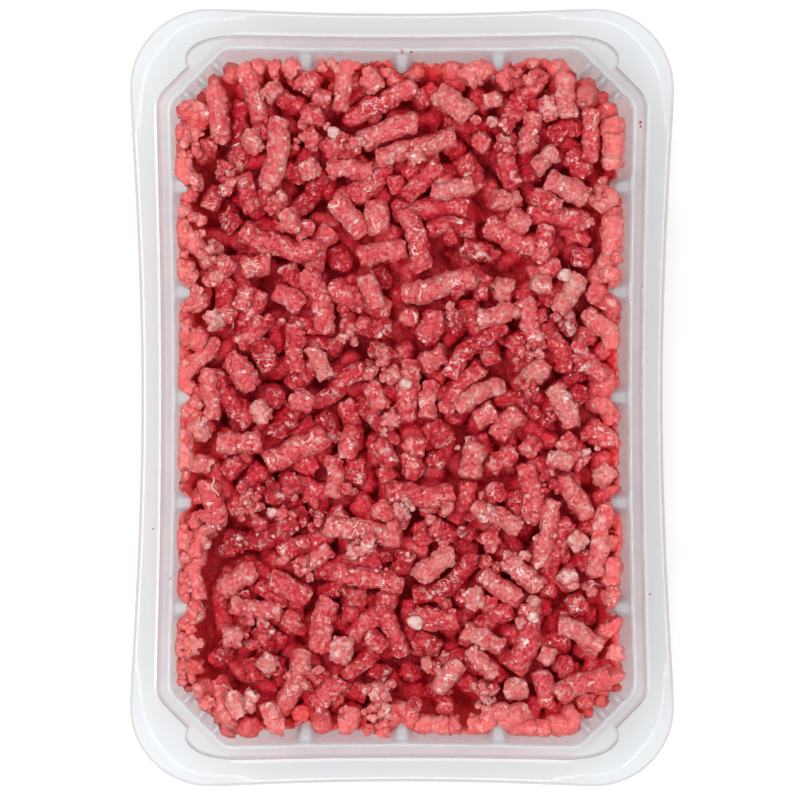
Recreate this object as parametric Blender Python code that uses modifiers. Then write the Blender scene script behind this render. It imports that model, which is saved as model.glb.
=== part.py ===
"""Clear thermoformed tray filled with minced meat, for Blender 4.5. Metres, +Z up.

The origin is the centre of the tray's base. The long side runs along Y.
The tray is one skin: a flat flange with a turned-down lip, a sloping collar with a
pocket in each corner, a narrow ledge, and a wall with upright ribs down to a flat base.
The mince is one heap that fills the tray up to a lumpy top.
"""

import math

import bmesh
import bpy
from mathutils import Vector, noise

MM = 0.001

# Driving dimensions
HEIGHT = 45.0 * MM
SKIN = 0.5 * MM
OUTER_HALF = (66.5 * MM, 95.0 * MM)  # lip, measured at the corners
OUTER_RADIUS = 19.5 * MM
OUTER_BOW = (2.8 * MM, 1.2 * MM)  # how far the long and short sides pull in half way
MOUTH_HALF = (59.35 * MM, 87.95 * MM)  # inner edge of the flange
MOUTH_BOW = (1.15 * MM, 0.6 * MM)
CORNER_CUT = 15.0 * MM  # what each slanting corner takes off both sides
MOUTH_ROUNDING = 6.0 * MM
POCKET_FLOOR_ROUNDING = 5.4 * MM
COLLAR_FOOT_ROUNDING = 5.1 * MM
WALL_ROUNDING = 4.8 * MM
BOW_POWER = 1.25  # shapes a bowed side: 1 is a parabola

LIP_DROP = 1.8 * MM
LIP_WIDTH = 1.1 * MM
LIP_ROUND = (0.25, 0.3)  # where its rounded edge lies, as shares of the lip's width and drop
COLLAR_DEPTH = 5.5 * MM
COLLAR_RUN = 1.95 * MM  # how far the collar leans in
LEDGE_WIDTH = 0.85 * MM
POCKET_DEPTH = 2.5 * MM
POCKET_TAPER = 0.3 * MM
POCKET_REACH = (2.7 * MM, 3.1 * MM)  # first handle of the pocket's outline, from the slant's middle

WALL_LEAN = 0.14  # inward run for each unit of depth
BASE_ROUND = 3.6 * MM
FOOT_BORDER = 0.6 * MM  # flat strip round the base that keeps its plane exact
RIB_DEPTH = 3.0 * MM
RIB_FADE = 5.0 * MM  # depth over which a rib grows out of the wall
RIB_FADE_RING = 0.4  # share of that depth where the ring between lies
RIB_FOOT = 3.05 * MM  # half the width where a rib leaves the wall
RIB_CREST = 1.1 * MM  # half the width of its rounded front
LONG_RIBS = (0.0, 25.9 * MM, 51.8 * MM)
SHORT_RIBS = (0.0, 23.7 * MM)
CORNER_RIB_DEPTH = 2.0 * MM
CORNER_RIBS = (-0.7, 0.0, 0.7)  # as shares of the slant's half length
CORNER_RIB_FOOT = 0.21

HEAP_GAP = 0.6 * MM  # between the mince and the skin
HEAP_LEVEL = 34.9 * MM  # mean level between the dips
HEAP_PEAK = 38.4 * MM
HEAP_LUMPS = ((8.5 * MM, 3.0 * MM), (22.0 * MM, 2.2 * MM))  # size and height of its relief
HEAP_DIP_SIZE = 11.0 * MM
HEAP_DIP_DEPTH = 5.0 * MM
HEAP_DIP_NOISE = (0.15, 0.45)  # noise at which a dip begins and is full
HEAP_RISE = 2.2 * MM  # how much higher it lies along the left wall
HEAP_RISE_BAND = (45.0 * MM, 53.0 * MM)  # places left of the middle where the rise begins and is full
HEAP_CELLS = (31, 44)

SIDE, TURN_IN, SLANT, TURN_OUT, END = range(5)


def octagon(half, cut, rounding, bow=(0.0, 0.0)):
    """A rectangle with slanting, rounded corners, as one quarter's sizes."""
    return {"half": half, "cut": cut, "round": rounding, "bow": bow}


def shrunk(shape, inset, rounding):
    """The same octagon with every side moved in, and its own corner rounding."""
    half = tuple(h - inset for h in shape["half"])
    return octagon(half, shape["cut"] - inset * (2 - math.sqrt(2)), rounding, shape["bow"])


def sag(along, reach, bow):
    """How far a bowed side lies inside its corners, at a place along it."""
    share = min(1.0, abs(along) / reach)
    return bow * (1 - share**2) ** BOW_POWER


def quarter_point(shape, section, value):
    """Place and outward direction on one quarter of an octagon."""
    half_x, half_y = shape["half"]
    cut = shape["cut"]
    tangent = shape["round"] * math.tan(math.pi / 8)
    if section == SIDE:
        inset = sag(value, half_y - cut, shape["bow"][0])
        return Vector((half_x - inset, value)), Vector((1.0, 0.0))
    if section == END:
        inset = sag(value, half_x - cut, shape["bow"][1])
        return Vector((value, half_y - inset)), Vector((0.0, 1.0))
    if section == SLANT:
        along = value * (cut / math.sqrt(2) - tangent)
        middle = Vector((half_x - cut / 2, half_y - cut / 2))
        return middle + along * Vector((-1, 1)).normalized(), Vector((1, 1)).normalized()
    if section == TURN_IN:
        centre = Vector((half_x - shape["round"], half_y - cut - tangent))
        angle = value * math.pi / 4
    else:
        centre = Vector((half_x - cut - tangent, half_y - shape["round"]))
        angle = math.pi / 4 + value * math.pi / 4
    outward = Vector((math.cos(angle), math.sin(angle)))
    return centre + shape["round"] * outward, outward


def quarter_stations(foot_margin=0.0):
    """Where one quarter's corner points lie, from the middle of the side to the middle of the end.

    Each is (section, place, share of the full rib depth at that place). A place on the
    straight sides is in metres, and on the slant and its turns it is a share of them.
    """
    foot, crest = RIB_FOOT + foot_margin, RIB_CREST + foot_margin / 2
    slant_reach = CORNER_CUT / math.sqrt(2) - WALL_ROUNDING * math.tan(math.pi / 8)
    small_foot = CORNER_RIB_FOOT + foot_margin / slant_reach
    stations = [(SIDE, crest, 1.0), (SIDE, foot, 0.0)]
    for rib in LONG_RIBS[1:]:
        stations += [(SIDE, rib - foot, 0.0), (SIDE, rib - crest, 1.0)]
        stations += [(SIDE, rib + crest, 1.0), (SIDE, rib + foot, 0.0)]
    stations += [(TURN_IN, share, 0.0) for share in (0.0, 0.5, 1.0)]
    small = CORNER_RIB_DEPTH / RIB_DEPTH
    for rib in CORNER_RIBS:
        stations += [(SLANT, rib - small_foot, 0.0), (SLANT, rib, small), (SLANT, rib + small_foot, 0.0)]
    stations += [(TURN_OUT, share, 0.0) for share in (0.0, 0.5, 1.0)]
    for rib in SHORT_RIBS[:0:-1]:
        stations += [(END, rib + foot, 0.0), (END, rib + crest, 1.0)]
        stations += [(END, rib - crest, 1.0), (END, rib - foot, 0.0)]
    stations += [(END, foot, 0.0), (END, crest, 1.0)]
    return stations


def octagon_quarter(shape, stations, rib_depth=0.0, gap=0.0):
    """One quarter of an octagon, pushed in at its ribs and everywhere by a gap."""
    points = []
    for section, value, rib in stations:
        place, outward = quarter_point(shape, section, value)
        points.append(place - outward * (rib * rib_depth + gap))
    return points


def bezier(ends, handles, share):
    """A point on a cubic curve."""
    left = 1 - share
    return (
        ends[0] * left**3
        + handles[0] * 3 * left**2 * share
        + handles[1] * 3 * left * share**2
        + ends[1] * share**3
    )


def pocket_quarter(shape, stations, taper):
    """The mouth's quarter with the pocket, which bulges out of the slant's second half."""
    middle, _ = quarter_point(shape, SLANT, 0.0)
    end, _ = quarter_point(shape, TURN_OUT, 1.0)
    handles = (
        middle + Vector(POCKET_REACH),
        Vector((middle.x - POCKET_REACH[0] / 2, end.y)),
    )
    points = octagon_quarter(shape, stations)
    members = [
        i
        for i, (section, value, _) in enumerate(stations)
        if section == TURN_OUT or (section == SLANT and value >= 0)
    ]
    towards = (end + Vector((0, -2 * taper)) - middle).normalized()
    inward = Vector((towards.y, -towards.x))
    for order, i in enumerate(members):
        share = order / (len(members) - 1)
        bulge = bezier((middle, end), handles, share)
        points[i] = bulge - inward * taper * math.sin(math.pi * share)
    return points


def lip_quarter(stations, inset):
    """The outer outline's quarter: one big round corner between bowed sides."""
    half_x, half_y = (h - inset for h in OUTER_HALF)
    radius = OUTER_RADIUS - inset
    centre = Vector((half_x - radius, half_y - radius))
    corner = [i for i, (section, _, _) in enumerate(stations) if section not in (SIDE, END)]
    mouth = octagon(MOUTH_HALF, CORNER_CUT, MOUTH_ROUNDING)
    start, _ = quarter_point(mouth, TURN_IN, 0.0)
    end, _ = quarter_point(mouth, TURN_OUT, 1.0)
    lead_in, lead_out = centre.y - start.y, centre.x - end.x
    arc = radius * math.pi / 2
    points = []
    for i, (section, value, _) in enumerate(stations):
        if section == SIDE:
            points.append(Vector((half_x - sag(value, centre.y, OUTER_BOW[0]), value)))
        elif section == END:
            points.append(Vector((value, half_y - sag(value, centre.x, OUTER_BOW[1]))))
        else:
            way = (i - corner[0]) / (len(corner) - 1) * (lead_in + arc + lead_out)
            if way < lead_in:
                along = start.y + way
                points.append(Vector((half_x - sag(along, centre.y, OUTER_BOW[0]), along)))
            elif way > lead_in + arc:
                along = end.x + lead_in + arc + lead_out - way
                points.append(Vector((along, half_y - sag(along, centre.x, OUTER_BOW[1]))))
            else:
                angle = (way - lead_in) / radius
                points.append(centre + radius * Vector((math.cos(angle), math.sin(angle))))
    return points


def full_loop(quarter):
    """All four quarters of an outline, anticlockwise from above."""
    first = list(quarter)
    second = [Vector((-p.x, p.y)) for p in reversed(quarter)]
    third = [Vector((-p.x, -p.y)) for p in quarter]
    fourth = [Vector((p.x, -p.y)) for p in reversed(quarter)]
    return first + second + third + fourth


def add_ring(mesh, quarter, heights):
    """One loop of vertices. heights is one level, or one level for each point of a quarter."""
    if isinstance(heights, float):
        heights = [heights] * len(quarter)
    mirrored = list(heights) + list(reversed(heights))
    return [
        mesh.verts.new((p.x, p.y, z))
        for p, z in zip(full_loop(quarter), mirrored + mirrored)
    ]


def join_rings(mesh, rings):
    """Faces between each ring and the next, which lies further in or down."""
    for outer, inner in zip(rings, rings[1:]):
        for i in range(len(outer)):
            j = (i + 1) % len(outer)
            mesh.faces.new((outer[i], outer[j], inner[j], inner[i]))


def ledge_shape():
    """The octagon where the ribbed wall starts."""
    mouth = octagon(MOUTH_HALF, CORNER_CUT, MOUTH_ROUNDING, MOUTH_BOW)
    return shrunk(mouth, COLLAR_RUN + LEDGE_WIDTH, WALL_ROUNDING)


def wall_shape(level):
    """The plain wall's octagon at a level below the ledge, without its ribs."""
    depth = HEIGHT - COLLAR_DEPTH - level
    return shrunk(ledge_shape(), depth * WALL_LEAN, WALL_ROUNDING)


def wall_rings(mesh, stations, bottom, gap):
    """Rings of the ribbed wall, each at its level, with ribs that grow out below the ledge."""
    top = HEIGHT - COLLAR_DEPTH
    rings = []
    for level in (top, top - RIB_FADE * RIB_FADE_RING, top - RIB_FADE, bottom):
        growth = min(1.0, (top - level) / RIB_FADE)
        depth = RIB_DEPTH * math.sin(growth * math.pi / 2)
        rings.append(add_ring(mesh, octagon_quarter(wall_shape(level), stations, depth, gap), level))
    return rings


def finish_mesh(bm, name, collection, material):
    """Turns a bmesh into a named object with one material."""
    data = bpy.data.meshes.new(name)
    bm.to_mesh(data)
    bm.free()
    data.materials.append(material)
    obj = bpy.data.objects.new(name, data)
    collection.objects.link(obj)
    return obj


def tray(collection, material):
    """The clear tray, modelled as its inner face and given its thickness outwards."""
    bm = bmesh.new()
    stations = quarter_stations()
    mouth = octagon(MOUTH_HALF, CORNER_CUT, MOUTH_ROUNDING, MOUTH_BOW)
    floor = HEIGHT - POCKET_DEPTH
    slope_out = POCKET_DEPTH / COLLAR_DEPTH * COLLAR_RUN
    in_pocket = [section == TURN_OUT or (section == SLANT and value > 0) for section, value, _ in stations]
    collar_top = [
        bulge if pocket else plain
        for bulge, plain, pocket in zip(
            pocket_quarter(mouth, stations, POCKET_TAPER),
            octagon_quarter(shrunk(mouth, slope_out / 2, MOUTH_ROUNDING), stations),
            in_pocket,
        )
    ]
    collar_levels = [floor if pocket else HEIGHT - POCKET_DEPTH / 2 for pocket in in_pocket]
    rings = [
        add_ring(bm, lip_quarter(stations, 0.0), HEIGHT - LIP_DROP),
        add_ring(bm, lip_quarter(stations, LIP_WIDTH * LIP_ROUND[0]), HEIGHT - LIP_DROP * LIP_ROUND[1]),
        add_ring(bm, lip_quarter(stations, LIP_WIDTH), HEIGHT),
        add_ring(bm, pocket_quarter(mouth, stations, 0.0), HEIGHT),
        add_ring(bm, collar_top, collar_levels),
        add_ring(bm, octagon_quarter(shrunk(mouth, slope_out, POCKET_FLOOR_ROUNDING), stations), floor),
        add_ring(
            bm,
            octagon_quarter(shrunk(mouth, COLLAR_RUN, COLLAR_FOOT_ROUNDING), stations),
            HEIGHT - COLLAR_DEPTH,
        ),
    ]
    bottom = SKIN + BASE_ROUND
    rings += wall_rings(bm, stations, bottom, 0.0)
    for inset, level in (
        (BASE_ROUND * (1 - math.sqrt(0.5)), bottom - BASE_ROUND * math.sqrt(0.5)),
        (BASE_ROUND, SKIN),
        (BASE_ROUND + FOOT_BORDER, SKIN),
    ):
        shape = shrunk(wall_shape(bottom), inset, WALL_ROUNDING)
        rings.append(add_ring(bm, octagon_quarter(shape, stations, RIB_DEPTH), level))
    join_rings(bm, rings)
    bm.faces.new(rings[-1])
    bm.normal_update()
    obj = finish_mesh(bm, "tray", collection, material)
    skin = obj.modifiers.new("skin", "SOLIDIFY")
    skin.thickness = SKIN
    skin.offset = -1
    skin.use_even_offset = False
    return obj


def cavity(collection, material):
    """The space inside the ribbed wall, less a gap: the cutter that gives the heap its sides."""
    bm = bmesh.new()
    stations = quarter_stations(HEAP_GAP / 2)
    bottom = SKIN + BASE_ROUND
    floor = SKIN + HEAP_GAP
    rings = wall_rings(bm, stations, bottom, HEAP_GAP)
    shape = shrunk(wall_shape(bottom), BASE_ROUND, WALL_ROUNDING)
    rings.append(add_ring(bm, octagon_quarter(shape, stations, RIB_DEPTH, HEAP_GAP), floor))
    join_rings(bm, rings)
    bm.faces.new(rings[-1])
    bm.faces.new(list(reversed(rings[0])))
    bmesh.ops.recalc_face_normals(bm, faces=bm.faces)
    obj = finish_mesh(bm, "cavity_cutter", collection, material)
    obj.hide_render = True
    obj.display_type = "WIRE"
    return obj


def smooth_share(value, span):
    """0 before a span and 1 beyond it, with a soft passage between."""
    begins, full = span
    share = min(1.0, max(0.0, (value - begins) / (full - begins)))
    return share**2 * (3 - 2 * share)


def heap_level(x, y):
    """Height of the mince at a place: two sizes of lump, with deep dips between them."""
    level = HEAP_LEVEL + HEAP_RISE * smooth_share(-x, HEAP_RISE_BAND)
    for size, height in HEAP_LUMPS:
        level += height * noise.noise(Vector((x / size, y / size, size / MM)))
    dip = noise.noise(Vector((x / HEAP_DIP_SIZE, y / HEAP_DIP_SIZE, 0.5)))
    return min(level, HEAP_PEAK) - HEAP_DIP_DEPTH * smooth_share(dip, HEAP_DIP_NOISE)


def mince(collection, material, cutter):
    """The heap of mince: a lumpy block cut to the tray's inside."""
    bm = bmesh.new()
    half_x, half_y = MOUTH_HALF
    bmesh.ops.create_grid(bm, x_segments=HEAP_CELLS[0], y_segments=HEAP_CELLS[1], size=1.0)
    for vert in bm.verts:
        vert.co.x *= half_x
        vert.co.y *= half_y
        vert.co.z = heap_level(vert.co.x, vert.co.y)
    lump_faces = list(bm.faces)
    grown = bmesh.ops.extrude_face_region(bm, geom=lump_faces)
    for element in grown["geom"]:
        if isinstance(element, bmesh.types.BMVert):
            element.co.z = 0.0
    bmesh.ops.recalc_face_normals(bm, faces=bm.faces)
    obj = finish_mesh(bm, "mince", collection, material)
    cut = obj.modifiers.new("fill the tray", "BOOLEAN")
    cut.operation = "INTERSECT"
    cut.solver = "EXACT"
    cut.object = cutter
    return obj


def material(name, colour, roughness, transmission=0.0, alpha=1.0):
    """A Principled material."""
    made = bpy.data.materials.new(name)
    made.use_nodes = True
    made.diffuse_color = (*colour, alpha)
    shader = made.node_tree.nodes["Principled BSDF"]
    shader.inputs["Base Color"].default_value = (*colour, 1.0)
    shader.inputs["Roughness"].default_value = roughness
    shader.inputs["Metallic"].default_value = 0.0
    shader.inputs["Transmission Weight"].default_value = transmission
    return made


def main():
    for obj in list(bpy.data.objects):
        bpy.data.objects.remove(obj)
    parts = bpy.data.collections.new("minced meat tray")
    cutters = bpy.data.collections.new("cutters")
    for collection in (parts, cutters):
        bpy.context.scene.collection.children.link(collection)
    clear = material("clear plastic", (0.93, 0.95, 0.96), 0.06, transmission=1.0, alpha=0.3)
    meat = material("raw minced meat", (0.60, 0.10, 0.10), 0.4)
    tray(parts, clear)
    mince(parts, meat, cavity(cutters, meat))


main()
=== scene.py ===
import math

import bpy
import numpy as np
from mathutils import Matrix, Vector, geometry, noise


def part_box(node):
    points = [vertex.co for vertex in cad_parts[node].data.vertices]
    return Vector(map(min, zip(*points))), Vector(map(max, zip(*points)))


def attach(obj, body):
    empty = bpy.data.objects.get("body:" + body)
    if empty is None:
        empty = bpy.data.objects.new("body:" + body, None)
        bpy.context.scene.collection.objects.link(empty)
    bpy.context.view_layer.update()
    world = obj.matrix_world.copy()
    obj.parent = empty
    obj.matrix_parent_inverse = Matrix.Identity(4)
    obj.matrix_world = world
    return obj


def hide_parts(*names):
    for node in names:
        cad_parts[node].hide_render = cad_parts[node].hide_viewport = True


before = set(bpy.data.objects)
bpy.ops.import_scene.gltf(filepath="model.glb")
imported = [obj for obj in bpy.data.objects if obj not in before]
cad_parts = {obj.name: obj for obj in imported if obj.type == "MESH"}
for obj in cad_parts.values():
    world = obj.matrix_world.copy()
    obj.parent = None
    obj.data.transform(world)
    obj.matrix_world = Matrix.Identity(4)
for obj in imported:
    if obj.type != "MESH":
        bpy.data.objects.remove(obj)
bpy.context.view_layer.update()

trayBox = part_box("tray")
mm = 0.001  # sizes are in millimetres until a mesh is made
anyTurn = (0, 6.3)  # for turns and phases drawn at random
anySeed = (0, 500)
seedWay = (1.0, 1.7, 2.3)  # the way in which a piece's own seed moves its patterns


def srgb(code, alpha=1.0):
    # "#rrggbb" to the linear colour that Blender's sockets take
    parts = [int(code[i : i + 2], 16) / 255 for i in (1, 3, 5)]
    linear = [c / 12.92 if c <= 0.04045 else ((c + 0.055) / 1.055) ** 2.4 for c in parts]
    return (*linear, alpha)


def addNode(tree, kind, inputs=None, **settings):
    # one node: settings are its properties, inputs are values or the sockets that feed it
    node = tree.nodes.new(kind)
    for name, value in settings.items():
        setattr(node, name, value)
    for key, value in (inputs or {}).items():
        socket = node.inputs[key]
        if isinstance(value, bpy.types.NodeSocket):
            tree.links.new(value, socket)
        elif isinstance(value, bpy.types.Node):
            tree.links.new(value.outputs[0], socket)
        else:
            socket.default_value = value
    return node


def fillRamp(node, stops):
    # colour stops as (position, "#rrggbb")
    ramp = node.color_ramp
    while len(ramp.elements) > 1:
        ramp.elements.remove(ramp.elements[-1])
    ramp.elements[0].position = stops[0][0]
    ramp.elements[0].color = srgb(stops[0][1])
    for place, code in stops[1:]:
        ramp.elements.new(place).color = srgb(code)


def newMaterial(name):
    made = bpy.data.materials.new(name)
    made.use_nodes = True
    made.node_tree.nodes.clear()
    return made, made.node_tree


def meshObject(name, verts, faces, material, smooth=True):
    data = bpy.data.meshes.new(name)
    data.from_pydata([tuple(v) for v in verts], [], faces)
    if smooth:
        data.polygons.foreach_set("use_smooth", [True] * len(data.polygons))
    data.materials.append(material)
    data.validate()
    made = bpy.data.objects.new(name, data)
    bpy.context.scene.collection.objects.link(made)
    return made


def plainMesh(piece):
    # swaps the piece's modifiers for the mesh that they give
    data = bpy.data.meshes.new_from_object(piece.evaluated_get(bpy.context.evaluated_depsgraph_get()))
    piece.modifiers.clear()
    piece.data = data


def storeValues(data, name, values):
    data.attributes.new(name, "FLOAT", "POINT").data.foreach_set("value", np.asarray(values, np.float32))


def smoothStep(low, high, value):
    t = np.clip((value - low) / (high - low), 0, 1)
    return t * t * (3 - 2 * t)


# The tray's form in millimetres, with the same sizes as the solid that it stands for.
tray = {
    "height": 45.0,
    "skin": 0.5,
    "outerHalf": (66.5, 95.0),
    "outerRadius": 19.5,
    "outerBow": (2.8, 1.2),
    "mouthHalf": (59.35, 87.95),
    "mouthBow": (1.15, 0.6),
    "bowPower": 1.25,  # above 1, a bowed side runs flatter into its corners
    "cornerCut": 15.0,
    "mouthRounding": 6.0,
    "wallRounding": 4.8,
    "lipWidth": 1.1,
    # (inset, drop) of the lip's turned-down edge, from its foot up to the flange
    "lipEdge": ((0.0, 1.8), (0.0, 1.35), (0.08, 0.85), (0.28, 0.42), (0.6, 0.12), (1.1, 0.0)),
    "flangeShares": (0.04, 0.35, 0.75, 0.96),  # where rings lie from the lip to the mouth
    "collarDepth": 5.5,
    "collarRun": 1.95,
    "collarShares": (0.3, 0.455, 0.6, 0.8),  # where rings lie down the collar
    "ledgeWidth": 0.85,
    "pocketDepth": 2.5,
    "pocketReach": (2.7, 3.1),
    # (taper, drop) of the pocket's own wall, beside the collar's first rings
    "pocketWall": ((0.0, 0.0), (0.06, 0.03), (0.18, 0.16), (0.25, 0.4), (0.27, 0.7), (0.4, 2.0)),
    "pocketFloorTaper": 0.55,
    # (radius, points) of the bends at the mouth, at the collar's foot and at the ledge's edge
    "bends": ((0.6, 5), (0.3, 4), (0.45, 5)),
    "wallLean": 0.14,
    "baseRound": 3.6,
    "baseInsets": (1.0, 3.0),  # rings of the flat base, inside its rounded edge
    "wallSteps": (9, 8, 7),  # rings while the ribs grow, below that and round the base's edge
    "ribDepth": 3.0,
    "ribFade": 5.0,
    "ribFoot": 3.05,
    "ribCrest": 1.1,
    "ribSoftness": 0.12,
    "longRibs": (0.0, 25.9, 51.8),
    "shortRibs": (0.0, 23.7),
    "cornerRibDepth": 2.0,
    "cornerRibs": (-0.7, 0.0, 0.7),
    "cornerRibFoot": 0.231,
    "lipPaintedShadeRings": 4,  # rings of the lip that get painted shade, like a bend
    "paintedBendShades": (0.8, 1.0, 0.7),  # how much painted shade at the lip, at the mouth and below the ledge
    "wrinkleRings": (2, 6),  # first and last ring of the flange's wrinkled edge
    "wrinkleBand": ((34.0, 46.0), (62.0, 76.0)),  # places where the corners' wrinkles begin and are full
    "fineStep": 0.36,  # spacing of points across a rib
    "fineReach": 0.9,  # how far past a rib's foot it holds
    "coarseStep": 1.5,
    "restSteps": 12,  # points from the last rib to the corner's turn
    "turnSteps": 8,
    "slantSteps": 60,
}
ledgeLevel = tray["height"] - tray["collarDepth"]
ledgeInset = tray["collarRun"] + tray["ledgeWidth"]


def octagonAt(inset):
    # half sizes, corner cut and rounding of the mouth's octagon moved in by an inset (numbers or arrays)
    share = np.clip(inset / ledgeInset, 0, 1)
    rounding = tray["mouthRounding"] + (tray["wallRounding"] - tray["mouthRounding"]) * share
    half = [h - inset for h in tray["mouthHalf"]]
    return half[0], half[1], tray["cornerCut"] - inset * (2 - math.sqrt(2)), rounding


def wallInset(level):
    return ledgeInset + (ledgeLevel - level) * tray["wallLean"]


def sag(along, reach, bow):
    return bow * np.clip(1 - (along / reach) ** 2, 0, 1) ** tray["bowPower"]


def ribGrowth(level):
    growth = np.clip((ledgeLevel - level) / tray["ribFade"], 0, 1)
    return np.sin(growth * math.pi / 2)


def straightRib(place, level, ribs):
    # how far the wall comes in: nothing beside the ribs and all along their fronts, with rounded feet
    near = np.min([np.abs(np.abs(place) - rib) for rib in ribs], axis=0)
    ramp = (tray["ribFoot"] - near) / (tray["ribFoot"] - tray["ribCrest"])
    soft = tray["ribSoftness"]
    rise = 0.5 * (ramp + np.sqrt(ramp**2 + soft**2))
    rise = 1 - 0.5 * ((1 - rise) + np.sqrt((1 - rise) ** 2 + soft**2))
    return tray["ribDepth"] * ribGrowth(level) * np.clip(rise, 0, 1)


def slantRib(share, level):
    near = np.min([np.abs(share - rib) for rib in tray["cornerRibs"]], axis=0)
    return tray["cornerRibDepth"] * ribGrowth(level) * smoothStep(0, 1, 1 - near / tray["cornerRibFoot"])


def ribPush(section, value, level):
    # how far the wall comes in at a station
    place = np.array(value)
    if section == "side":
        return float(straightRib(place, level, tray["longRibs"]))
    if section == "end":
        return float(straightRib(place, level, tray["shortRibs"]))
    if section == "slant":
        return float(slantRib(place, level))
    return 0.0


def spread(start, end, ribs):
    # places from start to end, close together across ribs and further apart between them
    places, at = [], start
    while at < end:
        places.append(at)
        near = min(abs(at - rib) for rib in ribs)
        at += tray["fineStep"] if near < tray["ribFoot"] + tray["fineReach"] else tray["coarseStep"]
    return places


def quarterStations():
    # (section, value) from the middle of the long side to the middle of the short one.
    # A value is a place in mm beside the ribs, and a share beyond them.
    lastSide = tray["longRibs"][-1] + tray["ribFoot"] + 1.0
    lastEnd = tray["shortRibs"][-1] + tray["ribFoot"] + 1.0
    side = spread(0.0, lastSide, tray["longRibs"])[1:]
    end = spread(0.0, lastEnd, tray["shortRibs"])[1:]
    rest = np.linspace(0, 1, tray["restSteps"], endpoint=False)
    turn = np.linspace(0, 1, tray["turnSteps"], endpoint=False)
    slant = np.linspace(-1, 1, tray["slantSteps"], endpoint=False)
    stations = []
    for section, values in (("side", side), ("sideRest", rest), ("turnIn", turn), ("slant", slant),
                            ("turnOut", turn), ("endRest", rest), ("end", reversed(end))):
        stations += [(section, value) for value in values]
    return stations, lastSide, lastEnd


stations, lastSide, lastEnd = quarterStations()


def octagonPoint(section, value, shape):
    # place and outward direction on the octagon, without ribs
    halfX, halfY, cut, rounding = shape
    tangent = rounding * math.tan(math.pi / 8)
    sideEnd, endEnd = halfY - cut - tangent, halfX - cut - tangent
    bowX, bowY = tray["mouthBow"]
    if section in ("side", "sideRest"):
        y = value if section == "side" else lastSide + (sideEnd - lastSide) * value
        return np.array([halfX - sag(y, halfY - cut, bowX), y]), np.array([1.0, 0.0])
    if section in ("end", "endRest"):
        x = value if section == "end" else endEnd + (lastEnd - endEnd) * value
        return np.array([x, halfY - sag(x, halfX - cut, bowY)]), np.array([0.0, 1.0])
    if section == "slant":
        along = value * (cut / math.sqrt(2) - tangent)
        middle = np.array([halfX - cut / 2, halfY - cut / 2])
        return middle + along * np.array([-1, 1]) / math.sqrt(2), np.array([1, 1]) / math.sqrt(2)
    if section == "turnIn":
        centre, angle = np.array([halfX - rounding, sideEnd]), value * math.pi / 4
    else:
        centre, angle = np.array([endEnd, halfY - rounding]), (1 + value) * math.pi / 4
    outward = np.array([math.cos(angle), math.sin(angle)])
    return centre + rounding * outward, outward


def octagonRing(inset, level, ribs=True):
    # one quarter of the inner face at an inset from the mouth, pushed in at its ribs
    shape = octagonAt(inset)
    points = []
    for section, value in stations:
        place, outward = octagonPoint(section, value, shape)
        push = ribPush(section, value, level) if ribs and level < ledgeLevel else 0.0
        points.append(place - outward * push)
    return np.array(points)


def lipRing(inset):
    # one quarter of the flange's outer outline: a round corner between two bowed sides
    halfX, halfY = (h - inset for h in tray["outerHalf"])
    radius = tray["outerRadius"] - inset
    centre = np.array([halfX - radius, halfY - radius])
    bowX, bowY = tray["outerBow"]
    shape = octagonAt(0.0)
    corner = [i for i, (s, v) in enumerate(stations) if s in ("turnIn", "slant", "turnOut")]
    startY = octagonPoint("turnIn", 0.0, shape)[0][1]
    endX = octagonPoint("turnOut", 1.0, shape)[0][0]
    leadIn, leadOut, arc = centre[1] - startY, centre[0] - endX, radius * math.pi / 2
    points = []
    for i, (section, value) in enumerate(stations):
        way = (i - corner[0]) / len(corner) * (leadIn + arc + leadOut)
        if section in ("side", "sideRest") or (i in corner and way < leadIn):
            y = startY + way if i in corner else octagonPoint(section, value, shape)[0][1]
            points.append([halfX - sag(y, centre[1], bowX), y])
        elif section in ("end", "endRest") or way > leadIn + arc:
            x = octagonPoint(section, value, shape)[0][0]
            if i in corner:
                x = endX + leadIn + arc + leadOut - way
            points.append([x, halfY - sag(x, centre[0], bowY)])
        else:
            angle = (way - leadIn) / radius
            points.append(centre + radius * np.array([math.cos(angle), math.sin(angle)]))
    return np.array(points)


def pocketRing(points, taper):
    # bulges the mouth's outline out of each slant's second half
    shape = octagonAt(0.0)
    start = octagonPoint("slant", 0.0, shape)[0]
    end = octagonPoint("turnOut", 1.0, shape)[0]
    handles = (start + np.array(tray["pocketReach"]),
               np.array([start[0] - tray["pocketReach"][0] / 2, end[1]]))
    members = [i for i, (s, v) in enumerate(stations) if s == "turnOut" or (s == "slant" and v > 1e-6)]
    outline = points.copy()
    for order, i in enumerate(members):
        t = (order + 1) / (len(members) + 1)
        bulge = start * (1 - t) ** 3 + handles[0] * 3 * t * (1 - t) ** 2
        bulge = bulge + handles[1] * 3 * t * t * (1 - t) + end * t**3
        slope = (handles[0] - start) * 3 * (1 - t) ** 2 + (handles[1] - handles[0]) * 6 * t * (1 - t)
        slope = slope + (end - handles[1]) * 3 * t * t
        outward = np.array([slope[1], -slope[0]]) / np.hypot(*slope)
        outline[i] = bulge - outward * taper
    return outline, members


def bend(corner, before, after, radius, steps):
    # points of an arc that rounds a corner between two directions, in the (inset, level) plane
    corner, before, after = (np.array(v, float) for v in (corner, before, after))
    before, after = before / np.hypot(*before), after / np.hypot(*after)
    turn = math.acos(np.clip(before @ after, -1, 1))
    reach = radius * math.tan(turn / 2)
    points = []
    for t in np.linspace(0, 1, steps):
        a, b = corner - before * reach, corner + after * reach
        points.append(a * (1 - t) ** 2 + corner * 2 * t * (1 - t) + b * t * t)
    return points


def fullLoop(quarter):
    # four quarters, anticlockwise from above
    flip = quarter[::-1]
    return np.vstack([quarter, flip * [-1, 1], quarter * [-1, -1], flip * [1, -1]])


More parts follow.
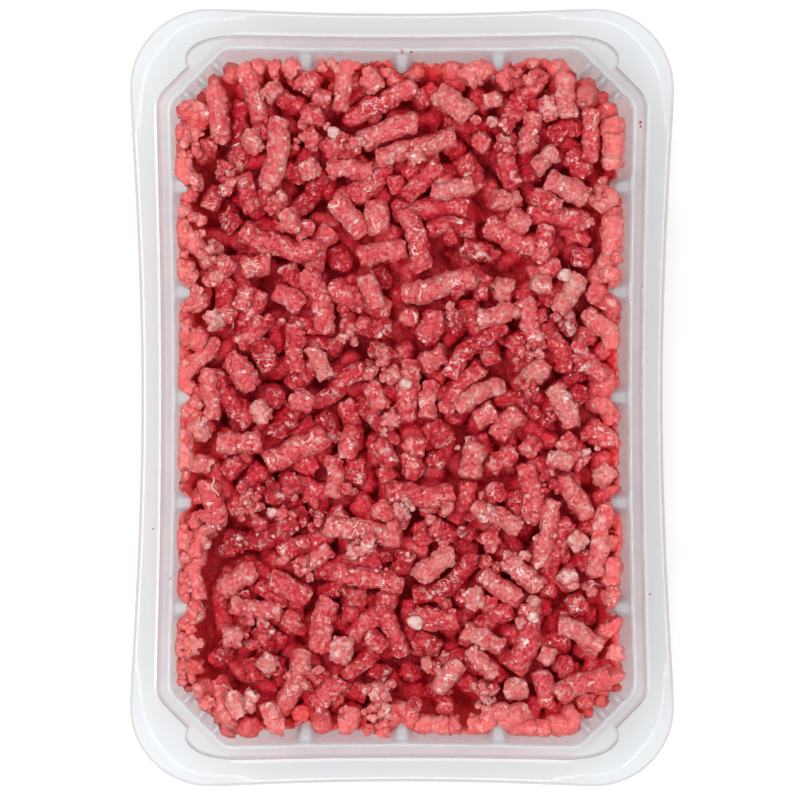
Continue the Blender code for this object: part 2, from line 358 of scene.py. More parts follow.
def ribOutlineShade():
    # painted shade on the ribs' outlines: how much of a rib's bent flank each station of the wall shows
    full = ledgeLevel - tray["ribFade"]
    depths = [tray["cornerRibDepth"] if section == "slant" else tray["ribDepth"] for section, _ in stations]
    rises = np.array([ribPush(section, value, full) for section, value in stations]) / depths
    return 4 * rises * (1 - rises)


def skinProfile():
    # mouth, collar, ledge and the top of the wall as (inset, level)
    top = tray["height"]
    mouth, foot, ledge = tray["bends"]
    slope = (tray["collarRun"], -tray["collarDepth"])
    profile = bend((0, top), (1, 0), slope, *mouth)
    profile += [np.array(slope) * share + [0, top] for share in tray["collarShares"]]
    profile += bend((tray["collarRun"], ledgeLevel), slope, (1, 0), *foot)
    profile += bend((ledgeInset, ledgeLevel), (1, 0), (tray["wallLean"], -1), *ledge)
    return profile


def skinRings():
    # the inner face from the lip's foot to the base: each ring is a quarter's outline and its levels
    top, base = tray["height"], tray["skin"]
    rings = [(lipRing(inset), top - drop) for inset, drop in tray["lipEdge"]]
    outer = lipRing(tray["lipWidth"])
    profile = skinProfile()
    pocket, members = pocketRing(octagonRing(profile[0][0], top, ribs=False), 0.0)
    rings += [(outer + (pocket - outer) * share, top) for share in tray["flangeShares"]]
    mouthBend = range(len(rings), len(rings) + tray["bends"][0][1])
    floorLevel = top - tray["pocketDepth"]
    floorInset = tray["collarRun"] * tray["pocketDepth"] / tray["collarDepth"]
    slack = 0.05
    for number, (inset, level) in enumerate(profile):
        ring = octagonRing(max(inset, 0), level)
        levels = np.full(len(stations), level)
        if level > floorLevel + slack:
            taper, drop = tray["pocketWall"][min(number, len(tray["pocketWall"]) - 1)]
            bulged, _ = pocketRing(ring, taper)
            ring[members] = bulged[members]
            levels[members] = top - drop
        elif inset < floorInset + slack:
            levels[members] = floorLevel
        rings.append((ring, levels))
    # the pocket's floor takes one more ring, between its wall's foot and the collar
    cut = next(i for i, r in enumerate(rings) if i >= mouthBend[0] and np.min(r[1]) <= floorLevel + slack)
    foot, _ = pocketRing(octagonRing(0.0, top, ribs=False), tray["pocketFloorTaper"])
    ring = rings[cut - 1][0] * 0.5 + rings[cut][0] * 0.5
    levels = np.array(rings[cut - 1][1], float) * 0.5 + np.array(rings[cut][1]) * 0.5
    ring[members] = foot[members]
    levels[members] = floorLevel
    rings.insert(cut, (ring, levels))
    wallBend = range(len(rings) - tray["bends"][2][1] + 1, len(rings))
    # ribbed wall, the base's edge and the base
    bottom = base + tray["baseRound"]
    grown = ledgeLevel - tray["ribFade"]
    growing, below, turning = tray["wallSteps"]
    upper = np.linspace(profile[-1][1], grown, growing + 1)[1:]
    lower = np.linspace(grown, bottom, below + 1)[1:]
    for level in [*upper, *lower]:
        rings.append((octagonRing(wallInset(level), level), level))
    for turn in np.linspace(0, math.pi / 2, turning + 1)[1:]:
        inset = wallInset(bottom) + tray["baseRound"] * (1 - math.cos(turn))
        level = bottom - tray["baseRound"] * math.sin(turn)
        rings.append((octagonRing(inset, level), level))
    for extra in tray["baseInsets"]:
        rings.append((octagonRing(wallInset(bottom) + tray["baseRound"] + extra, base), base))
    return rings, mouthBend, wallBend


def makeTraySkin(material):
    # one closed skin, lofted through the rings of its inner face and then given its thickness
    rings, mouthBend, wallBend = skinRings()
    verts, faces, bent = [], [], []
    ribShade = ribOutlineShade()
    # painted shade on the plastic at its bends and along the ribs' flanks, in place of the dark lines that
    # refraction draws there; it is stored as the bend attribute
    shaded = list(zip((range(tray["lipPaintedShadeRings"]), mouthBend, wallBend), tray["paintedBendShades"]))
    for number, (ring, levels) in enumerate(rings):
        shade = sum(amount for span, amount in shaded if number in span)
        shade = shade + ribShade * float(number > wallBend[0])
        bent += [*shade, *shade[::-1]] * 2
        heights = np.broadcast_to(levels, (len(stations),))
        heights = np.concatenate([heights, heights[::-1], heights, heights[::-1]])
        verts.append(np.column_stack([fullLoop(ring), heights]) * mm)
    count = len(verts[0])
    for r in range(len(verts) - 1):
        a, b = r * count, (r + 1) * count
        faces += [(a + i, a + (i + 1) % count, b + (i + 1) % count, b + i) for i in range(count)]
    last = (len(verts) - 1) * count
    faces.append(tuple(range(last, last + count)))
    made = meshObject("tray_skin", np.vstack(verts), faces, material)
    storeValues(made.data, "bend", bent)
    x, y, _ = np.abs(np.vstack(verts) / mm).T
    firstRing, lastRing = tray["wrinkleRings"]
    nearLip = np.repeat([float(firstRing <= number <= lastRing) for number in range(len(rings))], count)
    corner = smoothStep(*tray["wrinkleBand"][0], x) * smoothStep(*tray["wrinkleBand"][1], y)
    storeValues(made.data, "wrinkle", nearLip * corner)
    thick = made.modifiers.new("skin", "SOLIDIFY")
    thick.thickness = tray["skin"] * mm
    thick.offset = -1
    plainMesh(made)
    made.data.name = "tray_skin"
    return made


def pushInside(points, clearance):
    # moves points (mm) that come closer to the ribbed wall than the clearance straight inwards
    x, y, z = (np.abs(points[:, 0]), np.abs(points[:, 1]), points[:, 2])
    inset = wallInset(np.minimum(z, ledgeLevel))
    halfX, halfY, cut, rounding = octagonAt(inset)
    bowX, bowY = tray["mouthBow"]
    x = np.minimum(x, halfX - sag(y, halfY - cut, bowX) - straightRib(y, z, tray["longRibs"]) - clearance)
    y = np.minimum(y, halfY - sag(x, halfX - cut, bowY) - straightRib(x, z, tray["shortRibs"]) - clearance)
    middleX, middleY = halfX - cut / 2, halfY - cut / 2
    slantHalf = cut / math.sqrt(2) - rounding * math.tan(math.pi / 8)
    share = ((y - middleY) - (x - middleX)) / math.sqrt(2) / slantHalf
    over = (x + y - middleX - middleY) / math.sqrt(2) + clearance + slantRib(share, z)
    over = np.maximum(over, 0) / math.sqrt(2)
    return np.column_stack([np.sign(points[:, 0]) * (x - over), np.sign(points[:, 1]) * (y - over), z])


def wallDistance(points):
    # rough distance (mm) from the wall, without its ribs
    x, y, z = np.abs(points[:, 0]), np.abs(points[:, 1]), points[:, 2]
    halfX, halfY, cut, rounding = octagonAt(wallInset(np.minimum(z, ledgeLevel)))
    slant = (halfX + halfY - cut - x - y) / math.sqrt(2)
    return np.minimum(np.minimum(halfX - x, halfY - y), slant)


# The mince: strands laid one by one on a map of the heap's level.
mince = {
    "seed": 7,
    "cell": 0.5,  # of the heap's map
    "mapHalf": (60.0, 89.0),
    # how strands are laid, first as the core's relief and then as pieces of their own:
    # level is the highest top that a strand may have on average
    "inCore": {"level": 31.0, "places": 4, "shifts": 5, "patience": 60, "most": 900, "lineTheWall": False},
    "onTop": {"level": 37.6, "places": 9, "shifts": 14, "patience": 420, "most": 1200, "lineTheWall": True},
    "layLevel": 33.0,  # level at which a piece is held while it looks for its place
    "peak": (38.4, 39.2),  # highest point, in the middle and at the wall
    "coreMiddle": 24.0,  # where the core's own strands start, in the middle and near the wall
    "coreEdge": 34.0,
    "coreBand": (1.0, 10.0),  # distances from the wall over which it falls to the middle
    "coreFollow": 0.7,  # how closely it keeps to the heap's ups and downs
    "rise": 2.0,  # how much higher the core lies along the left wall
    "riseBand": (-44.0, -52.0),
    "cornerFall": 3.2,  # how much lower it lies at the slanting corners
    "cornerBand": (1.0, 8.0),
    "rimGap": ((2.6, 4.4), (4.5, 8.5)),  # between the first strands along the left wall, and the others
    "rimSink": 1.6,  # how much deeper they are pressed into the core
    "rimJitter": (1.0, 0.7),  # how far they stray from the wall's line, in mm and in radians
    "rimAllowance": 1.0,  # how much higher than the others they may lie
    "pressed": (0.3, 1.15),  # how near a strand's middle comes to the left wall and to others, in radii
    "shift": (2.0, 0.85, 0.12),  # first shift of a strand, what each try keeps of it, its turn for each mm
    "peakWeight": 0.25,  # how much a strand's highest point counts beside its mean level
    "spotTries": 5,  # places of which the lowest is taken
    "strandRadius": (2.15, 3.05),
    "lengths": ((0.38, 4.0, 7.5), (0.36, 7.5, 12.5), (0.26, 12.5, 21.0)),  # share, from, to
    "roughness": ((0.7, 1.9), (0.6, 1.5), (0.5, 1.2)),  # how grainy, for each length
    "fat": (-0.25, (0.38, 0.25, 0.18)),  # its mean, and how it varies for each length
    "pointStep": 0.5,
    "sway": (0.04, 0.28),  # how far a strand's heading swings, in radians
    "swayLength": (8, 18),
    "curl": 0.028,  # how much it turns for each mm
    "swell": 0.06,
    "swellLength": (4, 9),
    "bluntWays": (0, 0.3, 0.8, 1.4),  # distances from a strand's end, and its thickness there
    "bluntSizes": (0.93, 0.98, 1.0),
    "endSize": (0.66, 0.9),
    "ballReach": 3.2,  # how far from its centre a strand touches the map
    "squash": 1.3,  # how far strands press into each other
    "stiffness": 0.5,  # steepest slope that a strand takes
    "drapeReach": 3,  # points on each side over which its line is smoothed
    "tiltedStubs": 0.35,  # share of the short strands that stand or lean
    "tilts": (0.3, 1.3),
    "shown": (1.2, 4.5),  # depth, and distance from the wall, within which a strand can be seen
    "tone": (1.4, 0.62, 0.45, 1.4),  # its spread, its share, the painted light that height adds and the most it may be
    # painted light: paler meat near the clear wall, and paler strands between these levels high in the heap
    "paintedWallLight": 0.15,
    "paintedTopLight": (34.0, 38.5),
    "wallBand": (2.0, 11.0),  # distance from the wall over which painted light makes the meat pale, and the heap may stand higher
    "wallGap": 1.5,  # from the wall to the map's usable cells
    "paintedShadeDepths": (-0.4, 4.2),  # depth below the heap's level over which painted shade grows between the strands
    "smoothCells": 8,  # how far that level is smoothed
    "wallPaintedShade": (0.35, 0.5, 3.5),  # share of the painted shade that is left at the wall, and where it grows
    "paintedSideShadeBand": (-0.1, 0.75),  # how far up a face turns, from the darkest to the lightest painted shade on faces turned from the light above
    # how much painted shade a face turned from the light above takes
    "paintedSideShadeShare": 0.42,
    "wallClearance": 0.2,
    "sides": 24,
}

relief = {
    # the heap's own ups and downs, the same as the solid's
    "lumps": ((8.5, 3.0), (22.0, 2.2)),  # size, height
    "dipSize": 11.0,
    "dipDepth": 5.0,
    "dipNoise": (0.15, 0.45),
    "follow": 0.6,  # how closely the strands keep to it
}


def reliefAt(x, y):
    level = sum(height * noise.noise((x / size, y / size, size)) for size, height in relief["lumps"])
    dip = noise.noise((x / relief["dipSize"], y / relief["dipSize"], 0.5))
    return level - relief["dipDepth"] * float(smoothStep(*relief["dipNoise"], dip))


def blurred(grid, reach):
    # the grid smoothed with a bell of this reach, in cells
    bell = np.exp(-0.5 * (np.arange(-2 * reach, 2 * reach + 1) / reach) ** 2)
    bell /= bell.sum()

    def blurredRow(row):
        return np.convolve(np.pad(row, 2 * reach, mode="edge"), bell, "valid")

    for axis in (0, 1):
        grid = np.apply_along_axis(blurredRow, axis, grid)
    return grid


def leftShare(x):
    return smoothStep(-mince["riseBand"][0], -mince["riseBand"][1], -x)


def riseAt(x, y):
    # how much higher or lower the heap lies along the left wall and at the corners
    halfX, halfY, cut, _ = octagonAt(wallInset(mince["coreEdge"]))
    slant = (halfX + halfY - cut - np.abs(x) - np.abs(y)) / math.sqrt(2)
    corner = 1 - smoothStep(*mince["cornerBand"], slant)
    return mince["rise"] * leftShare(x) * (1 - corner) - mince["cornerFall"] * corner


def coreTop(x, y):
    away = wallDistance(np.column_stack([x, y, np.full(x.shape, mince["coreEdge"])]))
    edge = mince["coreEdge"] + riseAt(x, y)
    return mince["coreMiddle"] + (edge - mince["coreMiddle"]) * (1 - smoothStep(*mince["coreBand"], away))


def strandLine(rng, length):
    # a level, gently curved line about its own middle
    s = np.arange(0, length + 0.01, mince["pointStep"])
    swing = rng.uniform(*mince["sway"])
    sway = swing * np.sin(2 * math.pi * s / rng.uniform(*mince["swayLength"]) + rng.uniform(*anyTurn))
    heading = rng.normal(0, mince["curl"]) * s + sway
    steps = np.column_stack([np.cos(heading), np.sin(heading)]) * mince["pointStep"]
    line = np.cumsum(steps, axis=0)
    return line - line.mean(axis=0), s


def strandRadii(rng, s, size):
    # thickness along a strand: uneven, with blunt broken ends
    phase = 2 * math.pi * s / rng.uniform(*mince["swellLength"]) + rng.uniform(*anyTurn)
    swell = 1 + mince["swell"] * np.sin(phase)
    sizes = (rng.uniform(*mince["endSize"]), *mince["bluntSizes"])
    blunt = np.interp(np.minimum(s, s[-1] - s), mince["bluntWays"], sizes)
    return size * swell * blunt


def turnBy(angle):
    # the matrix that turns rows of x and y
    return np.array([[math.cos(angle), math.sin(angle)], [-math.sin(angle), math.cos(angle)]])


def anySpot(rng, halfX, halfY):
    return np.array([rng.uniform(-halfX, halfX), rng.uniform(-halfY, halfY)])


class HeapMap:
    # the heap's level on a grid, which strands and crumbs rest on and raise
    def __init__(self):
        self.cell = mince["cell"]
        self.half = np.array(mince["mapHalf"])
        self.shape = (np.round(2 * self.half / self.cell).astype(int) + 1)
        xs = np.linspace(-self.half[0], self.half[0], self.shape[0])
        ys = np.linspace(-self.half[1], self.half[1], self.shape[1])
        self.x, self.y = np.meshgrid(xs, ys, indexing="ij")
        self.relief = np.vectorize(reliefAt)(self.x, self.y)
        rise = riseAt(self.x, self.y)
        self.relief = relief["follow"] * (self.relief - self.relief.mean()) + rise
        self.level = coreTop(self.x.ravel(), self.y.ravel()).reshape(self.shape)
        self.level += mince["coreFollow"] * (self.relief - rise)
        flat = np.column_stack([self.x.ravel(), self.y.ravel(), np.full(self.x.size, mince["coreEdge"])])
        self.inside = (wallDistance(flat) > mince["wallGap"]).reshape(self.shape)
        self.insideCells = np.argwhere(self.inside)
        reach = int(mince["ballReach"] / self.cell) + 1
        grid = np.arange(-reach, reach + 1)
        du, dv = np.meshgrid(grid, grid, indexing="ij")
        away = np.hypot(du, dv) * self.cell
        near = away < mince["ballReach"]
        self.du, self.dv, self.away = du[near], dv[near], away[near]
        self.smooth = None

    def cells(self, points):
        at = np.round((points[:, :2] + self.half) / self.cell).astype(int)
        u = np.clip(at[:, :1] + self.du, 0, self.shape[0] - 1)
        v = np.clip(at[:, 1:] + self.dv, 0, self.shape[1] - 1)
        return u, v

    def dome(self, radii):
        # height of a ball above its centre at each cell near it
        under = radii[:, None] ** 2 - self.away[None, :] ** 2
        return np.where(under > 0, np.sqrt(np.maximum(under, 0)), -np.inf)

    def rest(self, points, radii):
        # the lowest level at which each ball rests on the heap
        u, v = self.cells(points)
        return np.max(self.level[u, v] + self.dome(radii), axis=1) - mince["squash"]

    def add(self, points, radii):
        u, v = self.cells(points)
        tops = points[:, 2:3] + self.dome(radii)
        np.maximum.at(self.level, (u, v), tops)

    def lowSpot(self, rng):
        # the lowest of a few random places
        picks = rng.integers(0, len(self.insideCells), mince["spotTries"])
        u, v = self.insideCells[picks].T
        lowest = np.argmin(self.level[u, v] - self.relief[u, v])
        return np.array([self.x[u[lowest], v[lowest]], self.y[u[lowest], v[lowest]]])

    def under(self, points):
        # the heap's level in each point's own cell
        u, v = self.cells(points)
        middle = self.away == 0
        return self.level[u[:, middle], v[:, middle]][:, 0]

    def shows(self, points, radii):
        # whether any of it reaches near the heap's surface or the wall
        depth, gap = mince["shown"]
        buried = self.under(points) - (points[:, 2] + radii)
        return bool(np.any(buried < depth)) or bool(np.any(wallDistance(points) < gap))

    def levelAt(self, points):
        return self.read(self.level, points)

    def read(self, grid, points):
        # a grid's value between its cells
        at = (points[:, :2] + self.half) / self.cell
        low = np.floor(at).astype(int)
        fu, fv = (at - low).T
        u, v = low.T
        left = grid[u, v] * (1 - fv) + grid[u, v + 1] * fv
        right = grid[u + 1, v] * (1 - fv) + grid[u + 1, v + 1] * fv
        return left * (1 - fu) + right * fu

    def paintedShadeBelow(self, points):
        # painted shade: 0 on top of the heap to 1 deep between its strands
        if self.smooth is None:
            self.smooth = blurred(self.level, mince["smoothCells"])
        return smoothStep(*mince["paintedShadeDepths"], self.read(self.smooth, points) - points[:, 2])

    def meanLevel(self):
        return self.level[self.inside].mean()


def drape(support, s):
    # a stiff line that lies on its supports and bends only so steeply
    slope, reach = mince["stiffness"], mince["drapeReach"]
    forward = np.maximum.accumulate(support + slope * s) - slope * s
    back = (np.maximum.accumulate((support - slope * s)[::-1])[::-1]) + slope * s
    padded = np.pad(np.maximum(forward, back), reach, mode="edge")
    window = 2 * reach + 1
    return np.convolve(padded, np.ones(window) / window, mode="valid")


def nearWall(points):
    # 1 at the wall to 0 well inside
    return 1 - smoothStep(*mince["wallBand"], wallDistance(points))


def peakAt(points):
    low, high = mince["peak"]
    return low + (high - low) * nearWall(points)


def toneAt(rng, spot, top=None):
    # how pale a piece is: painted light makes it paler high in the heap and where it lies against the clear
    # plastic
    spread, share, height, most = mince["tone"]
    edge = nearWall(np.array([[*spot, mince["layLevel"]]]))[0]
    tone = rng.beta(spread, spread)
    if top is not None:
        tone = share * tone + height * smoothStep(*mince["paintedTopLight"], top)
    return float(np.clip(tone + mince["paintedWallLight"] * edge, 0, most))


def rimSpots(rng):
    # places and headings along the wall, for the strands that line it
    ring = fullLoop(octagonRing(wallInset(mince["coreEdge"]), mince["coreEdge"], ribs=False))
    ahead = np.roll(ring, -1, axis=0) - ring
    length = np.concatenate([[0], np.cumsum(np.hypot(*ahead.T))])
    spots, way = [], 0.0
    while way < length[-1]:
        k = int(np.searchsorted(length, way, side="right")) - 1
        heading = math.atan2(ahead[k][1], ahead[k][0])
        span = max(length[k + 1] - length[k], 1e-6)
        spots.append((ring[k] + ahead[k] * (way - length[k]) / span, heading))
        way += rng.uniform(*mince["rimGap"][0 if ring[k][0] < mince["riseBand"][0] else 1])
    return spots


def layStrands(heap, settings, seed):
    # each strand starts over a low spot and turns and shifts until it settles into a gap
    rng = np.random.default_rng(seed)
    shares = np.cumsum([entry[0] for entry in mince["lengths"]])
    firstShift, shiftKept, turnShare = mince["shift"]
    places = settings["places"]
    rim = rimSpots(rng) if settings["lineTheWall"] else []
    strands, refused = [], 0
    while refused < settings["patience"] and len(strands) < settings["most"]:
        kind = int(np.searchsorted(shares, rng.uniform(0, shares[-1])))
        length = rng.uniform(*mince["lengths"][kind][1:])
        size = rng.uniform(*mince["strandRadius"])
        line, s = strandLine(rng, length)
        radii = strandRadii(rng, s, size)
        tilted = kind == 0 and rng.uniform() < mince["tiltedStubs"]
        tilt = rng.uniform(*mince["tilts"]) if tilted else 0.0
        line, lift = line * math.cos(tilt), (s - length / 2) * math.sin(tilt)
        best = None
        start = rim.pop() if rim else None
        for attempt in range(places + settings["shifts"]):
            if start and attempt < places:
                spot = start[0] + rng.normal(0, mince["rimJitter"][0], 2)
                angle = -start[1] + rng.normal(0, mince["rimJitter"][1])
            elif attempt < places:
                spot = heap.lowSpot(rng)
                angle = rng.uniform(0, 2 * math.pi)
            else:
                reach = firstShift * shiftKept ** (attempt - places)
                spot = best["spot"] + rng.normal(0, reach, 2)
                angle = best["angle"] + rng.normal(0, turnShare * reach)
            points = np.hstack([line @ turnBy(angle) + spot, np.full((len(line), 1), mince["layLevel"])])
            near = mince["pressed"][0 if spot[0] < mince["riseBand"][0] else 1]
            points = pushInside(points, mince["wallClearance"] + size * near)
            rest = heap.rest(points, radii) - mince["rimSink"] * bool(start)
            points[:, 2] = drape(rest, s) if tilt == 0 else np.max(rest - lift) + lift
            top = points[:, 2].mean() + size - heap.read(heap.relief, points).mean()
            worth = top + mince["peakWeight"] * points[:, 2].max()
            if best is None or worth < best["worth"]:
                best = {"worth": worth, "points": points, "spot": spot, "angle": angle, "top": top}
        points = best["points"]
        highest = settings["level"] + mince["rimAllowance"] * bool(start)
        if best["top"] > highest or np.any(points[:, 2] + radii > peakAt(points)):
            refused += not start
            continue
        heap.add(points, radii)
        middle, variation = mince["fat"]
        strands.append({"points": points, "radii": radii, "kind": kind, "seed": rng.uniform(*anySeed),
                        "tone": toneAt(rng, best["spot"], points[:, 2].mean() + size),
                        "rough": rng.uniform(*mince["roughness"][kind]),
                        "fat": max(0.0, rng.normal(middle, variation[kind]))})
    return strands


crumbSizes = {
    # clusters: how many, crumbs in each, their spread and their radii
    "clusters": {"loose": (60, (2, 7), 2.2, (0.8, 2.1)), "knots": (24, (9, 17), 1.5, (0.9, 1.6)),
                 "leftWall": (46, (3, 6), 1.5, (1.0, 1.9))},
    "span": (55, 84),
    "leftGap": (3.5, 6.0),  # from the map's left edge
    "leftShare": 0.9,  # of the left wall's length
    "sink": 0.25,  # how far a crumb is pressed into the heap, in radii
    "toneVaries": 0.15,
    "mostTone": 1.2,
    "fat": (-0.3, 0.45),
    "fatBits": (9, (1.4, 2.1)),  # how many and their radii
    "fatSpan": (52, 80),
    # specks on the tray itself: place, radius, paleness
    "specks": (((0.0, 84.75, 39.8), 0.55, 0.9), ((2.3, 84.7, 39.7), 0.38, 0.3),
               ((-60.7, -32.0, 45.1), 0.25, 0.6), ((60.5, -48.0, 45.1), 0.25, 0.6),
               ((-56.6, -44.3, 42.4), 0.3, 0.6), ((58.2, 67.2, 43.2), 0.4, 0.4),
               ((58.3, 66.2, 43.2), 0.3, 0.2)),
}


def placeCrumb(heap, spot, size, rng, tone, fat, rough):
    # lets one crumb rest on the heap, unless it would stand above the peak
    point = pushInside(np.array([[*spot, mince["layLevel"]]]), mince["wallClearance"] + size)
    point[:, 2] = heap.rest(point, np.array([size])) - size * crumbSizes["sink"]
    if point[0, 2] + size > peakAt(point)[0]:
        return []
    heap.add(point, np.array([size]))
    return [{"point": point[0], "size": size, "seed": rng.uniform(*anySeed), "rough": rough,
             "tone": min(crumbSizes["mostTone"], max(0.0, tone)), "fat": max(0.0, fat)}]


def layCrumbs(heap):
    rng = np.random.default_rng(mince["seed"] + 1)
    crumbs = []
    for kind, (clusters, share, scatter, sizes) in crumbSizes["clusters"].items():
        for cluster in range(clusters):
            spot = heap.lowSpot(rng) if cluster % 2 else anySpot(rng, *crumbSizes["span"])
            if kind == "leftWall":
                besideWall = -heap.half[0] + rng.uniform(*crumbSizes["leftGap"])
                spot = np.array([besideWall, spot[1] * crumbSizes["leftShare"]])
            tone = toneAt(rng, spot)
            for number in range(rng.integers(*share)):
                place, size = spot + rng.normal(0, scatter, 2), rng.uniform(*sizes)
                paleness = tone + rng.normal(0, crumbSizes["toneVaries"])
                crumbs += placeCrumb(heap, place, size, rng, paleness, rng.normal(*crumbSizes["fat"]), 1.0)
    number, sizes = crumbSizes["fatBits"]
    for bit in range(number):
        spot = anySpot(rng, *crumbSizes["fatSpan"])
        crumbs += placeCrumb(heap, spot, rng.uniform(*sizes), rng, tone=1.2, fat=0.9, rough=0.8)
    return crumbs


def laySpecks():
    # crumbs that fell on the ledge, the flange and the collar
    rng = np.random.default_rng(mince["seed"] + 6)
    return [{"point": np.array(place), "size": size, "seed": rng.uniform(*anySeed), "rough": 0.3,
             "tone": tone, "fat": 0.0} for place, size, tone in crumbSizes["specks"]]


sinewSizes = {
    "number": 11,
    "lengths": (2.5, 5.5),
    "radii": (0.2, 0.36),
    "bow": (-0.12, 0.12),
    "wave": (1.0, 2.0),
    "waveHeight": 0.4,
    "span": (50, 78),
    "lift": 0.2,  # above the strands
    "ends": ((0, 1.5), (0.5, 1.0)),  # distances from an end, and the thickness there
}


def laySinews(heap):
    # thin bent threads of gristle that lie over the strands
    rng = np.random.default_rng(mince["seed"] + 4)
    sinews = []
    for sinew in range(sinewSizes["number"]):
        line, s = strandLine(rng, rng.uniform(*sinewSizes["lengths"]))
        angle = rng.uniform(0, 2 * math.pi)
        bow = rng.uniform(*sinewSizes["bow"]) * (s - s.mean()) ** 2
        bow = bow + sinewSizes["waveHeight"] * np.sin(s * rng.uniform(*sinewSizes["wave"]))
        line = (line + np.column_stack([0 * bow, bow])) @ turnBy(angle) + anySpot(rng, *sinewSizes["span"])
        points = np.hstack([line, np.full((len(s), 1), mince["layLevel"])])
        radii = rng.uniform(*sinewSizes["radii"]) * np.interp(np.minimum(s, s[-1] - s), *sinewSizes["ends"])
        under = np.pad(heap.under(points), 2, mode="edge")
        points[:, 2] = np.convolve(under, np.ones(5) / 5, "valid") + sinewSizes["lift"]
        sinews.append({"points": points, "radii": radii, "seed": rng.uniform(*anySeed), "tone": 1.2,
                       "rough": 0.2, "fat": 1.6})
    return sinews


def startTree(name, sizes):
    # a tree with its named sizes as inputs; whole numbers become whole-number sockets
    tree = bpy.data.node_groups.new(name, "GeometryNodeTree")
    tree.interface.new_socket("Geometry", in_out="INPUT", socket_type="NodeSocketGeometry")
    tree.interface.new_socket("Geometry", in_out="OUTPUT", socket_type="NodeSocketGeometry")
    for label, value in sizes.items():
        kind = "NodeSocketInt" if isinstance(value, int) else "NodeSocketFloat"
        tree.interface.new_socket(label, in_out="INPUT", socket_type=kind).default_value = value
    return tree, addNode(tree, "NodeGroupInput")


# size and height in mm of the bumps on the meat's surface
grainSizes = {
    "Lump size": 4.2,
    "Lump height": 0.45,
    "Grain size": 1.8,
    "Grain height": 0.46,
    "Fine size": 1.1,
    "Fine height": 0.3,
}


def grainNodes(tree, given, geometry, material):
    # pushes the surface out and in along its normals: lumps, then grains with creases between them
    place = addNode(tree, "GeometryNodeInputPosition")
    inMm = addNode(tree, "ShaderNodeVectorMath", {0: place, "Scale": 1 / mm}, operation="SCALE")
    seed = addNode(tree, "GeometryNodeInputNamedAttribute", {"Name": "seed"})
    shift = addNode(tree, "ShaderNodeVectorMath", {0: seedWay, "Scale": seed}, operation="SCALE")
    own = addNode(tree, "ShaderNodeVectorMath", {0: inMm, 1: shift}, operation="ADD")
    rough = addNode(tree, "GeometryNodeInputNamedAttribute", {"Name": "rough"})
    total = None
    for label, kind in (("Lump", "noise"), ("Grain", "cells"), ("Fine", "cells")):
        size = given.outputs[label + " size"]
        often = addNode(tree, "ShaderNodeMath", {0: 1.0, 1: size}, operation="DIVIDE")
        if kind == "noise":
            texture = addNode(tree, "ShaderNodeTexNoise", {"Vector": own, "Scale": often, "Detail": 1.0})
            twice = {0: texture, 1: 2.0, 2: -1.0}
        else:
            texture = addNode(tree, "ShaderNodeTexVoronoi", {"Vector": own, "Scale": often})
            twice = {0: texture, 1: -2.0, 2: 1.0}
        signed = addNode(tree, "ShaderNodeMath", twice, operation="MULTIPLY_ADD")
        height = given.outputs[label + " height"]
        part = addNode(tree, "ShaderNodeMath", {0: signed, 1: height}, operation="MULTIPLY")
        if label != "Lump":
            part = addNode(tree, "ShaderNodeMath", {0: part, 1: rough}, operation="MULTIPLY")
        if total is None:
            total = part
        else:
            total = addNode(tree, "ShaderNodeMath", {0: total, 1: part}, operation="ADD")
    metres = addNode(tree, "ShaderNodeMath", {0: total, 1: mm}, operation="MULTIPLY")
    normal = addNode(tree, "GeometryNodeInputNormal")
    offset = addNode(tree, "ShaderNodeVectorMath", {0: normal, "Scale": metres}, operation="SCALE")
    moved = addNode(tree, "GeometryNodeSetPosition", {"Geometry": geometry, "Offset": offset})
    smooth = addNode(tree, "GeometryNodeSetShadeSmooth", {"Geometry": moved})
    real = addNode(tree, "GeometryNodeRealizeInstances", {"Geometry": smooth})
    finished = addNode(tree, "GeometryNodeSetMaterial", {"Geometry": real, "Material": material})
    addNode(tree, "NodeGroupOutput", {"Geometry": finished})


def strandTree(material):
    tree, given = startTree("strands", {"Sides": mince["sides"], **grainSizes})
    curve = addNode(tree, "GeometryNodeMeshToCurve", {"Mesh": given.outputs["Geometry"]})
    thick = addNode(tree, "GeometryNodeInputNamedAttribute", {"Name": "thick"})
    sides = {"Resolution": given.outputs["Sides"], "Radius": 1.0}
    profile = addNode(tree, "GeometryNodeCurvePrimitiveCircle", sides)
    tube = addNode(tree, "GeometryNodeCurveToMesh", {
        "Curve": curve, "Profile Curve": profile, "Scale": thick, "Fill Caps": True})
    grainNodes(tree, given, tube.outputs[0], material)
    return tree


def crumbTree(material):
    tree, given = startTree("crumbs", grainSizes)
    ball = addNode(tree, "GeometryNodeMeshIcoSphere", {"Radius": 1.0, "Subdivisions": 3})
    thick = addNode(tree, "GeometryNodeInputNamedAttribute", {"Name": "thick"})
    turns = {"Max": (anyTurn[1],) * 3, "Seed": 3}
    turn = addNode(tree, "FunctionNodeRandomValue", turns, data_type="FLOAT_VECTOR")
    stretches = {"Min": (0.8, 0.8, 0.7), "Max": (1.3, 1.1, 1.0), "Seed": 4}
    stretch = addNode(tree, "FunctionNodeRandomValue", stretches, data_type="FLOAT_VECTOR")
    size = addNode(tree, "ShaderNodeVectorMath", {0: stretch, "Scale": thick}, operation="SCALE")
    placed = addNode(tree, "GeometryNodeInstanceOnPoints", {
        "Points": given.outputs["Geometry"], "Instance": ball, "Rotation": turn, "Scale": size})
    real = addNode(tree, "GeometryNodeRealizeInstances", {"Geometry": placed})
    grainNodes(tree, given, real.outputs[0], material)
    return tree


def applyTree(piece, tree, settings=None):
    # runs the tree on the piece and leaves a plain mesh
    modifier = piece.modifiers.new("nodes", "NODES")
    modifier.node_group = tree
    for item in tree.interface.items_tree:
        if item.in_out == "INPUT" and settings and item.name in settings:
            modifier[item.identifier] = settings[item.name]
    plainMesh(piece)
    return piece


